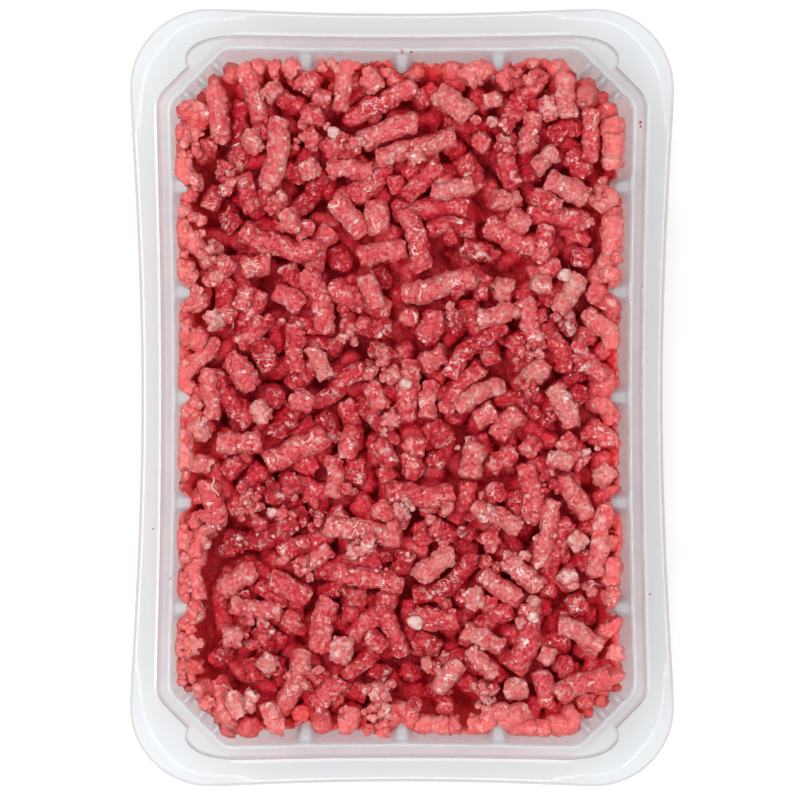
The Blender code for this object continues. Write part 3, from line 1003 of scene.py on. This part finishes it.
def settle(piece, heap):
    # keeps the piece off the wall and stores its painted shade and painted light: shade deep in the heap
    # and on faces turned from the light above, light near the clear wall
    co = np.zeros(len(piece.data.vertices) * 3, np.float32)
    piece.data.vertices.foreach_get("co", co)
    points = pushInside(co.reshape(-1, 3).astype(float) / mm, mince["wallClearance"])
    piece.data.vertices.foreach_set("co", (points * mm).astype(np.float32).ravel())
    piece.data.update()
    normals = np.zeros(len(points) * 3, np.float32)
    piece.data.vertex_normals.foreach_get("vector", normals)
    turned = 1 - smoothStep(*mince["paintedSideShadeBand"], normals.reshape(-1, 3)[:, 2])
    least, *band = mince["wallPaintedShade"]
    deep = heap.paintedShadeBelow(points) * (least + (1 - least) * smoothStep(*band, wallDistance(points)))
    deep = deep + mince["paintedSideShadeShare"] * turned * (1 - nearWall(points))
    storeValues(piece.data, "deep", np.clip(deep, 0, 1))
    storeValues(piece.data, "edge", nearWall(points))


def growPiece(name, points, edges, values, tree, settings):
    # the bare points and lines, with the values that the tree and the material read
    data = bpy.data.meshes.new(name)
    data.from_pydata(points, edges, [])
    for key, numbers in values.items():
        storeValues(data, key, numbers)
    piece = bpy.data.objects.new(name, data)
    bpy.context.scene.collection.objects.link(piece)
    return applyTree(piece, tree, settings)


def makeStrands(name, strands, tree, settings=None):
    verts, edges, values = [], [], {"thick": [], "seed": [], "tone": [], "fat": [], "rough": []}
    for strand in strands:
        first, count = len(verts), len(strand["points"])
        verts += [tuple(p * mm) for p in strand["points"]]
        edges += [(first + i, first + i + 1) for i in range(count - 1)]
        values["thick"] += list(strand["radii"] * mm)
        for key in ("seed", "tone", "fat", "rough"):
            values[key] += [strand[key]] * count
    return growPiece(name, verts, edges, values, tree, settings)


def makeCrumbs(name, crumbs, tree, settings=None):
    values = {key: [crumb[key] for crumb in crumbs] for key in ("seed", "tone", "fat", "rough")}
    values["thick"] = [crumb["size"] * mm for crumb in crumbs]
    return growPiece(name, [tuple(crumb["point"] * mm) for crumb in crumbs], [], values, tree, settings)


# The mince's core, with strands in relief where it meets the plastic.
core = {
    "around": 840,  # points round its side
    "step": 0.72,  # between its levels
    "baseSteps": 6,  # rings round the base's edge
    "cell": 0.4,  # of the relief's maps
    "voidDepth": 2.6,
    "deepest": 5.0,
    "strandArea": 34.0,  # mm2 of wall for each pressed strand
    "strandRadius": (2.0, 2.7),
    "strandLength": (3, 13),
    "strandCurl": 0.06,
    "strandReach": 3,  # how far from its line a strand is drawn
    "flatShare": 0.5,  # of a strand's radius, where the plastic presses it flat
    "roundness": 0.8,
    "baseRelief": 0.8,  # share of the relief that shows on the base
    "setBack": (0, 1.0),
    "evenAt": 22.0,  # level where its points are evenly spaced
    "stretchFrom": 22.0,  # level from which the side stretches up to its risen edge
    "smoothedTop": 0.8,  # share of the relief that its top loses
    "wander": 9,  # how often the top's edge wanders
    "retreat": (1.1, 2.2),  # how far its top keeps off the walls, and how much that varies
    "topStep": 0.74,
    "topBand": (0.8, 3.2),  # distance from the side over which the top takes the heap's level
    "bottomStep": 1.15,
    "bottomSpan": (120.0, 176.0),
    "rowShare": 0.87,  # spacing of a cap's rows
    "capClear": 0.6,  # how far a cap's points keep off its outline, in steps
    "edgeRoughness": 1.2,
    "grains": {"Lump height": 0.25, "Grain height": 0.25},
    "values": {"seed": 3.0, "tone": 0.5, "fat": 0.0},
}


def pressedRelief(spanU, spanV, seed):
    # depth map of strands pressed flat against a surface, which repeats along u
    rng = np.random.default_rng(seed)
    cell = core["cell"]
    nu, nv = int(round(spanU / cell)), int(round(spanV / cell)) + 1
    depth = np.full((nu, nv), core["voidDepth"])
    reach = int(core["strandReach"] / cell)
    du, dv = np.meshgrid(np.arange(-reach, reach + 1), np.arange(-reach, reach + 1), indexing="ij")
    du, dv = du.ravel(), dv.ravel()
    away = np.hypot(du, dv) * cell
    for number in range(int(spanU * spanV / core["strandArea"])):
        size = rng.uniform(*core["strandRadius"])
        s = np.arange(0, rng.uniform(*core["strandLength"]), cell)
        heading = rng.uniform(0, math.pi) + rng.normal(0, core["strandCurl"]) * s
        u = np.round((rng.uniform(0, spanU) + np.cumsum(np.cos(heading)) * cell) / cell).astype(int)
        v = np.round((rng.uniform(-1, spanV + 1) + np.cumsum(np.sin(heading)) * cell) / cell).astype(int)
        flat = core["flatShare"] * size
        out = np.clip((away - flat) / (size - flat), 0, 1)
        rounded = size * (1 - np.sqrt(1 - out**2)) * core["roundness"]
        shape = np.where(away < size, rounded, np.inf) + rng.uniform(*core["setBack"])
        cu, cv = (u[:, None] + du) % nu, v[:, None] + dv
        good = (cv >= 0) & (cv < nv)
        np.minimum.at(depth, (cu[good], cv[good]), np.broadcast_to(shape, cu.shape)[good])
    return depth


def readMap(depth, u, v):
    # the map between its cells, repeating along u
    nu, nv = depth.shape
    u, v = u / core["cell"], np.clip(v / core["cell"], 0, nv - 1.001)
    iu, iv = np.floor(u).astype(int), np.floor(v).astype(int)
    fu, fv = u - iu, v - iv
    a, b = iu % nu, (iu + 1) % nu
    low = depth[a, iv] * (1 - fu) + depth[b, iv] * fu
    high = depth[a, iv + 1] * (1 - fu) + depth[b, iv + 1] * fu
    return low * (1 - fv) + high * fv


def resampledRings():
    # places evenly spaced round the ribbed wall: their way round it, its length, their place among
    # its stations and their outward directions
    outwards = fullLoop(np.array([octagonPoint(s, v, octagonAt(0.0))[1] for s, v in stations]))
    reference = fullLoop(octagonRing(wallInset(core["evenAt"]), core["evenAt"]))
    closed = np.vstack([reference, reference[:1]])
    length = np.concatenate([[0], np.cumsum(np.hypot(*np.diff(closed, axis=0).T))])
    spots = np.linspace(0, length[-1], core["around"], endpoint=False)
    index = np.interp(spots, length, np.arange(len(closed)))
    return spots, length[-1], index, alongLoop(outwards, index)


def alongLoop(values, index):
    closed = np.vstack([values, values[:1]])
    low = np.floor(index).astype(int)
    share = (index - low)[:, None]
    return closed[low] * (1 - share) + closed[low + 1] * share


def wallLoop(level, index):
    return alongLoop(fullLoop(octagonRing(wallInset(level), level)), index)


def capPoints(outline, step):
    # an even grid of points inside an outline, kept clear of it
    low, high = outline.min(axis=0), outline.max(axis=0)
    rows = []
    for row, y in enumerate(np.arange(low[1], high[1], step * core["rowShare"])):
        xs = np.arange(low[0] + (row % 2) * step / 2, high[0], step)
        rows.append(np.column_stack([xs, np.full(xs.shape, y)]))
    points = np.vstack(rows)
    inside = np.zeros(len(points), bool)
    for (ax, ay), (bx, by) in zip(outline, np.roll(outline, -1, axis=0)):
        if ay != by:
            crosses = (ay > points[:, 1]) != (by > points[:, 1])
            inside ^= crosses & (points[:, 0] < (bx - ax) * (points[:, 1] - ay) / (by - ay) + ax)
    clear = np.ones(len(points), bool)
    few = 2000  # points at a time, to keep the table of distances small
    for start in range(0, len(points), few):
        across = points[start : start + few, None] - outline[None]
        gap = np.min(np.hypot(across[:, :, 0], across[:, :, 1]), axis=1)
        clear[start : start + few] = gap > step * core["capClear"]
    return points[inside & clear]


def coreSide():
    # rings of points down the side and round the base's edge
    spots, around, index, outward = resampledRings()
    clearance = mince["wallClearance"]
    bottom = tray["skin"] + tray["baseRound"]
    top = mince["coreEdge"]
    pressed = pressedRelief(around, top + 1, mince["seed"] + 2)
    wander = np.array([noise.noise((math.cos(turn) * core["wander"], math.sin(turn) * core["wander"], 0.0))
                       for turn in spots / around * 2 * math.pi])
    rings = []
    for level in np.arange(top, bottom, -core["step"]):
        # the side stretches upwards where the heap rises along the wall
        upper = smoothStep(core["stretchFrom"], top, level)
        ring = wallLoop(level, index)
        higher = wallLoop(level + mince["rise"] * upper, index)
        share = (riseAt(ring[:, 0], ring[:, 1]) / mince["rise"])[:, None]
        ring = ring * (1 - share) + higher * share
        depth = readMap(pressed, spots, np.full(spots.shape, level)) * (1 - core["smoothedTop"] * upper)
        retreat = np.maximum(core["retreat"][0] + core["retreat"][1] * wander, 0)
        retreat = upper * (1 - leftShare(ring[:, 0])) * retreat
        depth = clearance + np.minimum(depth, core["deepest"]) + retreat
        heights = level + mince["rise"] * upper * share[:, 0]
        rings.append(np.column_stack([ring - outward * depth[:, None], heights]))
    ring = wallLoop(bottom, index)
    for turn in np.linspace(0, math.pi / 2, core["baseSteps"]):
        level = bottom - (tray["baseRound"] - clearance) * math.sin(turn)
        depth = clearance + readMap(pressed, spots, np.full(spots.shape, level))
        depth = np.minimum(depth, core["deepest"]) + tray["baseRound"] * (1 - math.cos(turn))
        rings.append(np.column_stack([ring - outward * depth[:, None], np.full(len(ring), level)]))
    return rings


def capLevels(inner, isTop, topMap):
    # the heap's own level on top, and pressed strands on the base
    if not isTop:
        lows = pressedRelief(*core["bottomSpan"], mince["seed"] + 3)
        middleU, middleV = (span / 2 for span in core["bottomSpan"])
        depth = readMap(lows, inner[:, 0] + middleU, inner[:, 1] + middleV)
        return tray["skin"] + mince["wallClearance"] + depth * core["baseRelief"]
    top = mince["coreEdge"]
    flat = np.column_stack([inner, np.full(len(inner), top)])
    share = smoothStep(*core["topBand"], wallDistance(flat) - mince["wallClearance"])
    edge = top + riseAt(inner[:, 0], inner[:, 1])
    return edge + (topMap(inner) - edge) * share


def makeCore(material, tree, topMap):
    rings = coreSide()
    count = core["around"]
    verts = np.vstack(rings)
    faces = []
    for r in range(len(rings) - 1):
        a, b = r * count, (r + 1) * count
        faces += [(a + (i + 1) % count, a + i, b + i, b + (i + 1) % count) for i in range(count)]
    for isTop in (True, False):
        first = 0 if isTop else (len(rings) - 1) * count
        outline = verts[first : first + count, :2]
        inner = capPoints(outline, core["topStep"] if isTop else core["bottomStep"])
        flat = [Vector(p) for p in np.vstack([outline, inner])]
        loop = [(i, (i + 1) % count) for i in range(count)]
        _, _, triangles, origin, _, _ = geometry.delaunay_2d_cdt(flat, loop, [], 1, 1e-6)
        offset = len(verts)
        verts = np.vstack([verts, np.column_stack([inner, capLevels(inner, isTop, topMap)])])
        where = [sources[0] if sources else -1 for sources in origin]
        place = [first + k if k < count else offset + k - count for k in where]
        for triangle in triangles:
            corners = [place[k] for k in triangle]
            faces.append(tuple(corners) if isTop else tuple(reversed(corners)))
    piece = meshObject("mince_core", verts * mm, faces, material)
    for key, value in core["values"].items():
        storeValues(piece.data, key, np.full(len(verts), value))
    storeValues(piece.data, "rough", 1 + core["edgeRoughness"] * nearWall(verts))
    return applyTree(piece, tree, core["grains"])


meatLooks = {
    # muscle from the reddest to the palest
    "colours": ((0.0, "#930F1D"), (0.3, "#B92D38"), (0.55, "#CE565A"), (0.8, "#C97773"), (1.0, "#CC9A94")),
    "fatColour": "#E0BFB9",
    # white of the fat flecks and the gristle; the flecks also stand in as painted glints of the wet film
    "fleckAndGlintColour": "#F2E2DC",
    # painted shade, deep between the strands
    "deepColour": "#CC182E",
    # painted light near the clear wall, and the lighter shade that it paints there
    "paintedWallLightColour": "#F27672",
    "paintedWallLitShadeColour": "#E82630",
    # noises: size in mm, detail, roughness, distortion
    "noises": {"patches": (10 / 3, 3.0, 0.6, 0.0), "fibres": (10 / 11, 4.0, 0.7, 0.0),
               "marbling": (20 / 9, 3.0, 0.6, 0.5), "specks": (20 / 11, 3.0, 0.6, 0.0),
               "threads": (25 / 7, 2.0, 0.5, 1.4), "regions": (100 / 13, 1.0, 0.5, 0.0),
               "finest": (2 / 3, 3.0, 0.6, 0.0)},
    "grainSize": 1.1,
    "weights": {"patches": 0.4, "fibres": 0.7, "tone": 0.4, "grains": -0.2},
    "fatShare": 0.3,  # how much a strand's own fat helps the marbling
    # a pattern's low and high ends, and what it gives at each
    "span": (0.415, 0.95, 0.0, 1.0),  # place among the colours
    "fat": (0.54, 0.78, 0.0, 0.8),
    # flecks of fat, which also stand in as painted glints of the wet film
    "flecksAndGlints": (0.6, 0.74, 0.0, 0.9),
    "vein": (0.006, 0.026, 1.0, 0.0),
    "veinRegion": (0.59, 0.7, 0.0, 0.9),
    "wetness": (0.35, 0.7, 0.28, 0.44),
    # how much painted light lies on the meat near the clear wall
    "paintedWallLightShare": 0.55,
    # how strongly the painted shade darkens the meat
    "paintedShadeStrength": 0.8,
    "pits": -0.6,
    "bumpDepth": 0.32,  # mm
    "bumpStrength": 0.9,
    "scatter": 0.4,
    "scatterDepth": 1.0,  # mm
    "scatterColours": (1.0, 0.25, 0.18),  # how far red, green and blue travel in it
}


def meatMaterial(name, looks):
    # Raw minced beef: wet, see-through muscle with fine white fat. The red scatter below the surface and
    # painted shade keep the shadows crimson, painted light pales it near the clear plastic, and the film of
    # juice gives small soft glints, with white flecks that are partly painted glints.
    made, tree = newMaterial(name)
    place = addNode(tree, "ShaderNodeTexCoord").outputs["Object"]
    inMm = addNode(tree, "ShaderNodeVectorMath", {0: place, "Scale": 1 / mm}, operation="SCALE")
    sources = {key: addNode(tree, "ShaderNodeAttribute", attribute_name=key).outputs["Fac"]
               for key in ("tone", "fat", "seed", "deep", "edge")}
    along = {0: seedWay, "Scale": sources["seed"]}
    shift = addNode(tree, "ShaderNodeVectorMath", along, operation="SCALE")
    own = addNode(tree, "ShaderNodeVectorMath", {0: inMm, 1: shift}, operation="ADD")
    for key, (size, detail, roughness, distortion) in looks["noises"].items():
        sources[key] = addNode(tree, "ShaderNodeTexNoise", {
            "Vector": own, "Scale": 1 / size, "Detail": detail, "Roughness": roughness,
            "Distortion": distortion})
    often = 1 / looks["grainSize"]
    sources["grains"] = addNode(tree, "ShaderNodeTexVoronoi", {"Vector": own, "Scale": often})
    mixed = 0.0
    for key, weight in looks["weights"].items():
        adding = {0: sources[key], 1: weight, 2: mixed}
        mixed = addNode(tree, "ShaderNodeMath", adding, operation="MULTIPLY_ADD")
    # fat shows where a noise passes a threshold that each strand's own fat lowers, and gristle as thin
    # veins where a bent noise crosses its middle, kept to some regions
    marbled = {0: sources["fat"], 1: looks["fatShare"], 2: sources["marbling"]}
    marbled = addNode(tree, "ShaderNodeMath", marbled, operation="MULTIPLY_ADD")
    middle = addNode(tree, "ShaderNodeMath", {0: sources["threads"], 1: 0.5}, operation="SUBTRACT")
    middle = addNode(tree, "ShaderNodeMath", {0: middle}, operation="ABSOLUTE")
    ranged = {}
    for key, source in (("span", mixed), ("fat", marbled), ("flecksAndGlints", sources["specks"]), ("vein", middle),
                        ("veinRegion", sources["regions"]), ("wetness", sources["fibres"])):
        low, high, atLow, atHigh = looks[key]
        ranged[key] = addNode(tree, "ShaderNodeMapRange", {0: source, 1: low, 2: high, 3: atLow, 4: atHigh})
    # painted light makes it lighter where it meets the clear plastic, and painted shade turns it crimson
    # deep between the strands and on faces turned from the light above
    shares = {}
    for key, first, second in (("vein", ranged["vein"], ranged["veinRegion"]),
                               ("edge", sources["edge"], looks["paintedWallLightShare"]),
                               ("deep", sources["deep"], looks["paintedShadeStrength"])):
        shares[key] = addNode(tree, "ShaderNodeMath", {0: first, 1: second}, operation="MULTIPLY")
    ramp = addNode(tree, "ShaderNodeValToRGB", {0: ranged["span"]})
    fillRamp(ramp, looks["colours"])
    paintedShadeColours = {0: sources["edge"], 6: srgb(looks["deepColour"]), 7: srgb(looks["paintedWallLitShadeColour"])}
    under = addNode(tree, "ShaderNodeMix", paintedShadeColours, data_type="RGBA")
    colour = ramp.outputs[0]
    white = srgb(looks["fleckAndGlintColour"])
    layers = ((ranged["fat"], srgb(looks["fatColour"])), (ranged["flecksAndGlints"], white),
              (shares["vein"], white), (shares["edge"], srgb(looks["paintedWallLightColour"])),
              (shares["deep"], under.outputs[2]))
    for share, covering in layers:
        layer = addNode(tree, "ShaderNodeMix", {0: share, 6: colour, 7: covering}, data_type="RGBA")
        colour = layer.outputs[2]
    pitted = {0: sources["grains"], 1: looks["pits"], 2: sources["finest"]}
    pitted = addNode(tree, "ShaderNodeMath", pitted, operation="MULTIPLY_ADD")
    bump = addNode(tree, "ShaderNodeBump", {
        "Height": pitted, "Distance": looks["bumpDepth"] * mm, "Strength": looks["bumpStrength"]})
    shader = addNode(tree, "ShaderNodeBsdfPrincipled", {
        "Base Color": colour, "Roughness": ranged["wetness"], "Normal": bump, "IOR": 1.42,
        "Specular IOR Level": 0.2, "Subsurface Weight": looks["scatter"],
        "Subsurface Radius": looks["scatterColours"], "Subsurface Scale": looks["scatterDepth"] * mm})
    addNode(tree, "ShaderNodeOutputMaterial", {"Surface": shader})
    return made


plasticLooks = {
    "tint": "#F1F2F3",
    # painted shade at the bends and rib outlines, in place of the dark lines that refraction draws there
    "paintedBendShadeTint": "#E4DFE2",
    "mirrorColour": "#FFFFFF",
    "roughness": 0.1,
    "mirror": 0.8,
    "facing": 0.04,  # share that it mirrors when seen straight on
    "waveSize": 1.25,  # mm, of the wrinkles at the flange's corners
    "waveDepth": 6.0,
}


def clearPlastic(name, looks):
    # Clear polyester sheet, formed by vacuum. It is too thin to bend what is behind it, so each
    # face only dims it a little and mirrors more and more towards a grazing view.
    made, tree = newMaterial(name)
    # painted shade: the bend attribute dims the plastic more at its bends and rib outlines, in place of the
    # dark lines that refraction draws there
    bend = addNode(tree, "ShaderNodeAttribute", attribute_name="bend").outputs["Fac"]
    tint = addNode(tree, "ShaderNodeMix", {0: bend, 6: srgb(looks["tint"]), 7: srgb(looks["paintedBendShadeTint"])},
                   data_type="RGBA")
    through = addNode(tree, "ShaderNodeBsdfTransparent", {"Color": tint.outputs[2]})
    place = addNode(tree, "ShaderNodeTexCoord").outputs["Object"]
    inMm = addNode(tree, "ShaderNodeVectorMath", {0: place, "Scale": 1 / mm}, operation="SCALE")
    waves = addNode(tree, "ShaderNodeTexNoise", {
        "Vector": inMm, "Scale": 1 / looks["waveSize"], "Detail": 2.0, "Distortion": 0.6})
    wrinkle = addNode(tree, "ShaderNodeAttribute", attribute_name="wrinkle").outputs["Fac"]
    bump = addNode(tree, "ShaderNodeBump", {
        "Height": waves, "Distance": looks["waveDepth"] * mm, "Strength": wrinkle})
    mirror = addNode(tree, "ShaderNodeBsdfAnisotropic", {
        "Color": srgb(looks["mirrorColour"]), "Roughness": looks["roughness"], "Normal": bump})
    facing = addNode(tree, "ShaderNodeLayerWeight", {"Blend": 0.5})
    grazing = addNode(tree, "ShaderNodeMath", {0: facing.outputs["Facing"], 1: 5.0}, operation="POWER")
    least, rest = looks["facing"] * looks["mirror"], (1 - looks["facing"]) * looks["mirror"]
    share = addNode(tree, "ShaderNodeMath", {0: grazing, 1: rest, 2: least}, operation="MULTIPLY_ADD")
    mixed = addNode(tree, "ShaderNodeMixShader", {0: share, 1: through, 2: mirror})
    addNode(tree, "ShaderNodeOutputMaterial", {"Surface": mixed})
    return made


studio = {
    "skyStrength": 0.5,
    "lampSize": 0.5,
    # place (m) and power (W) of each lamp
    "lamps": {"left": ((-0.58, 0.0, 1.15), 5.8), "right": ((0.58, 0.0, 1.15), 2.9),
              "far": ((0.0, 0.62, 1.15), 3.1), "near": ((0.0, -0.62, 1.15), 4.1)},
    "floorColour": "#F9FDFD",
    "floorGlow": 0.08,
    "floorGrain": 2.5,  # mm
    "floorHalf": 3.0,
    "floorDrop": 0.0002,  # keeps the floor just clear of the base
    "cameraHeight": 1.0,
    "viewWidth": 0.1951,  # width of the picture at the rim
    "sensor": 36,
    "aim": (-0.00049, -0.00061),
}


def matteFloor(name):
    # matt white card, lit until it is as light as the background
    made, tree = newMaterial(name)
    coords = addNode(tree, "ShaderNodeTexCoord")
    fine = addNode(tree, "ShaderNodeTexNoise", {
        "Vector": coords.outputs["Object"], "Scale": 1 / (studio["floorGrain"] * mm), "Detail": 2.0})
    rough = addNode(tree, "ShaderNodeMapRange", {0: fine, 1: 0.3, 2: 0.7, 3: 0.75, 4: 0.9})
    shader = addNode(tree, "ShaderNodeBsdfPrincipled", {
        "Base Color": srgb(studio["floorColour"]), "Roughness": rough,
        "Emission Color": srgb("#FFFFFF"), "Emission Strength": studio["floorGlow"]})
    addNode(tree, "ShaderNodeOutputMaterial", {"Surface": shader})
    return made


def buildStudio():
    world = bpy.data.worlds.new("studio")
    bpy.context.scene.world = world
    world.use_nodes = True
    sky = world.node_tree.nodes["Background"]
    sky.inputs["Color"].default_value = (1, 1, 1, 1)
    sky.inputs["Strength"].default_value = studio["skyStrength"]
    for name, (place, power) in studio["lamps"].items():
        light = bpy.data.lights.new(name, "AREA")
        light.shape = "DISK"
        light.size = studio["lampSize"]
        light.energy = power
        lamp = bpy.data.objects.new(name, light)
        lamp.location = place
        lamp.rotation_euler = (-Vector(place)).to_track_quat("-Z", "Y").to_euler()
        bpy.context.scene.collection.objects.link(lamp)
    half = studio["floorHalf"]
    corners = [(-half, -half, 0), (half, -half, 0), (half, half, 0), (-half, half, 0)]
    floor = meshObject("floor", corners, [(0, 1, 2, 3)], matteFloor("matt_white_card"), smooth=False)
    floor.location.z = -studio["floorDrop"]
    rim = trayBox[1].z
    view = bpy.data.cameras.new("camera")
    view.sensor_width = studio["sensor"]
    view.lens = studio["sensor"] * studio["cameraHeight"] / studio["viewWidth"]
    view.clip_start = 0.01
    camera = bpy.data.objects.new("camera", view)
    camera.location = (*studio["aim"], rim + studio["cameraHeight"])
    bpy.context.scene.collection.objects.link(camera)
    bpy.context.scene.camera = camera
    bpy.context.scene.view_settings.view_transform = "Standard"


print("tray")
skin = makeTraySkin(clearPlastic("clear_polyester", plasticLooks))

print("mince")
meat = meatMaterial("raw_minced_beef", meatLooks)
heap = HeapMap()
coreStrands = layStrands(heap, mince["inCore"], mince["seed"] + 5)
print("core strands:", len(coreStrands), "mean level", round(heap.meanLevel(), 2))
coreNodes, coreGiven = startTree("core", grainSizes)
grainNodes(coreNodes, coreGiven, coreGiven.outputs["Geometry"], meat)
mincePieces = [makeCore(meat, coreNodes, heap.levelAt)]
strands = layStrands(heap, mince["onTop"], mince["seed"])
print("strands laid:", len(strands), "mean level", round(heap.meanLevel(), 2))
strands = [strand for strand in strands if heap.shows(strand["points"], strand["radii"])]
print("strands kept:", len(strands))
crumbs = layCrumbs(heap)
print("crumbs laid:", len(crumbs), "peak", round(heap.level.max(), 2))
tubes = strandTree(meat)
balls = crumbTree(meat)
for kind, name in enumerate(("mince_strands_short", "mince_strands_medium", "mince_strands_long")):
    chosen = [strand for strand in strands if strand["kind"] == kind]
    mincePieces.append(makeStrands(name, chosen, tubes))
mincePieces.append(makeStrands("mince_sinews", laySinews(heap), tubes, {
    "Sides": 10, "Lump height": 0.12, "Grain height": 0.1, "Fine height": 0.1}))
mincePieces.append(makeCrumbs("mince_crumbs", crumbs, balls, {"Lump size": 2.0, "Lump height": 0.4}))
for piece in mincePieces:
    settle(piece, heap)

# the specks lie on the tray, so they aren't settled in the heap
specks = makeCrumbs("mince_specks", laySpecks(), balls, {
    "Lump height": 0.05, "Grain height": 0.05, "Fine height": 0.05})
for name in ("deep", "edge"):
    storeValues(specks.data, name, np.zeros(len(specks.data.vertices)))
mincePieces.append(specks)
for piece in mincePieces:
    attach(piece, "root")
    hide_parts("mince")
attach(skin, "root")
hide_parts("tray")
for piece in [skin, *mincePieces]:
    piece.data.calc_loop_triangles()
    print(piece.name, len(piece.data.loop_triangles), "triangles")

print("studio")
buildStudio()
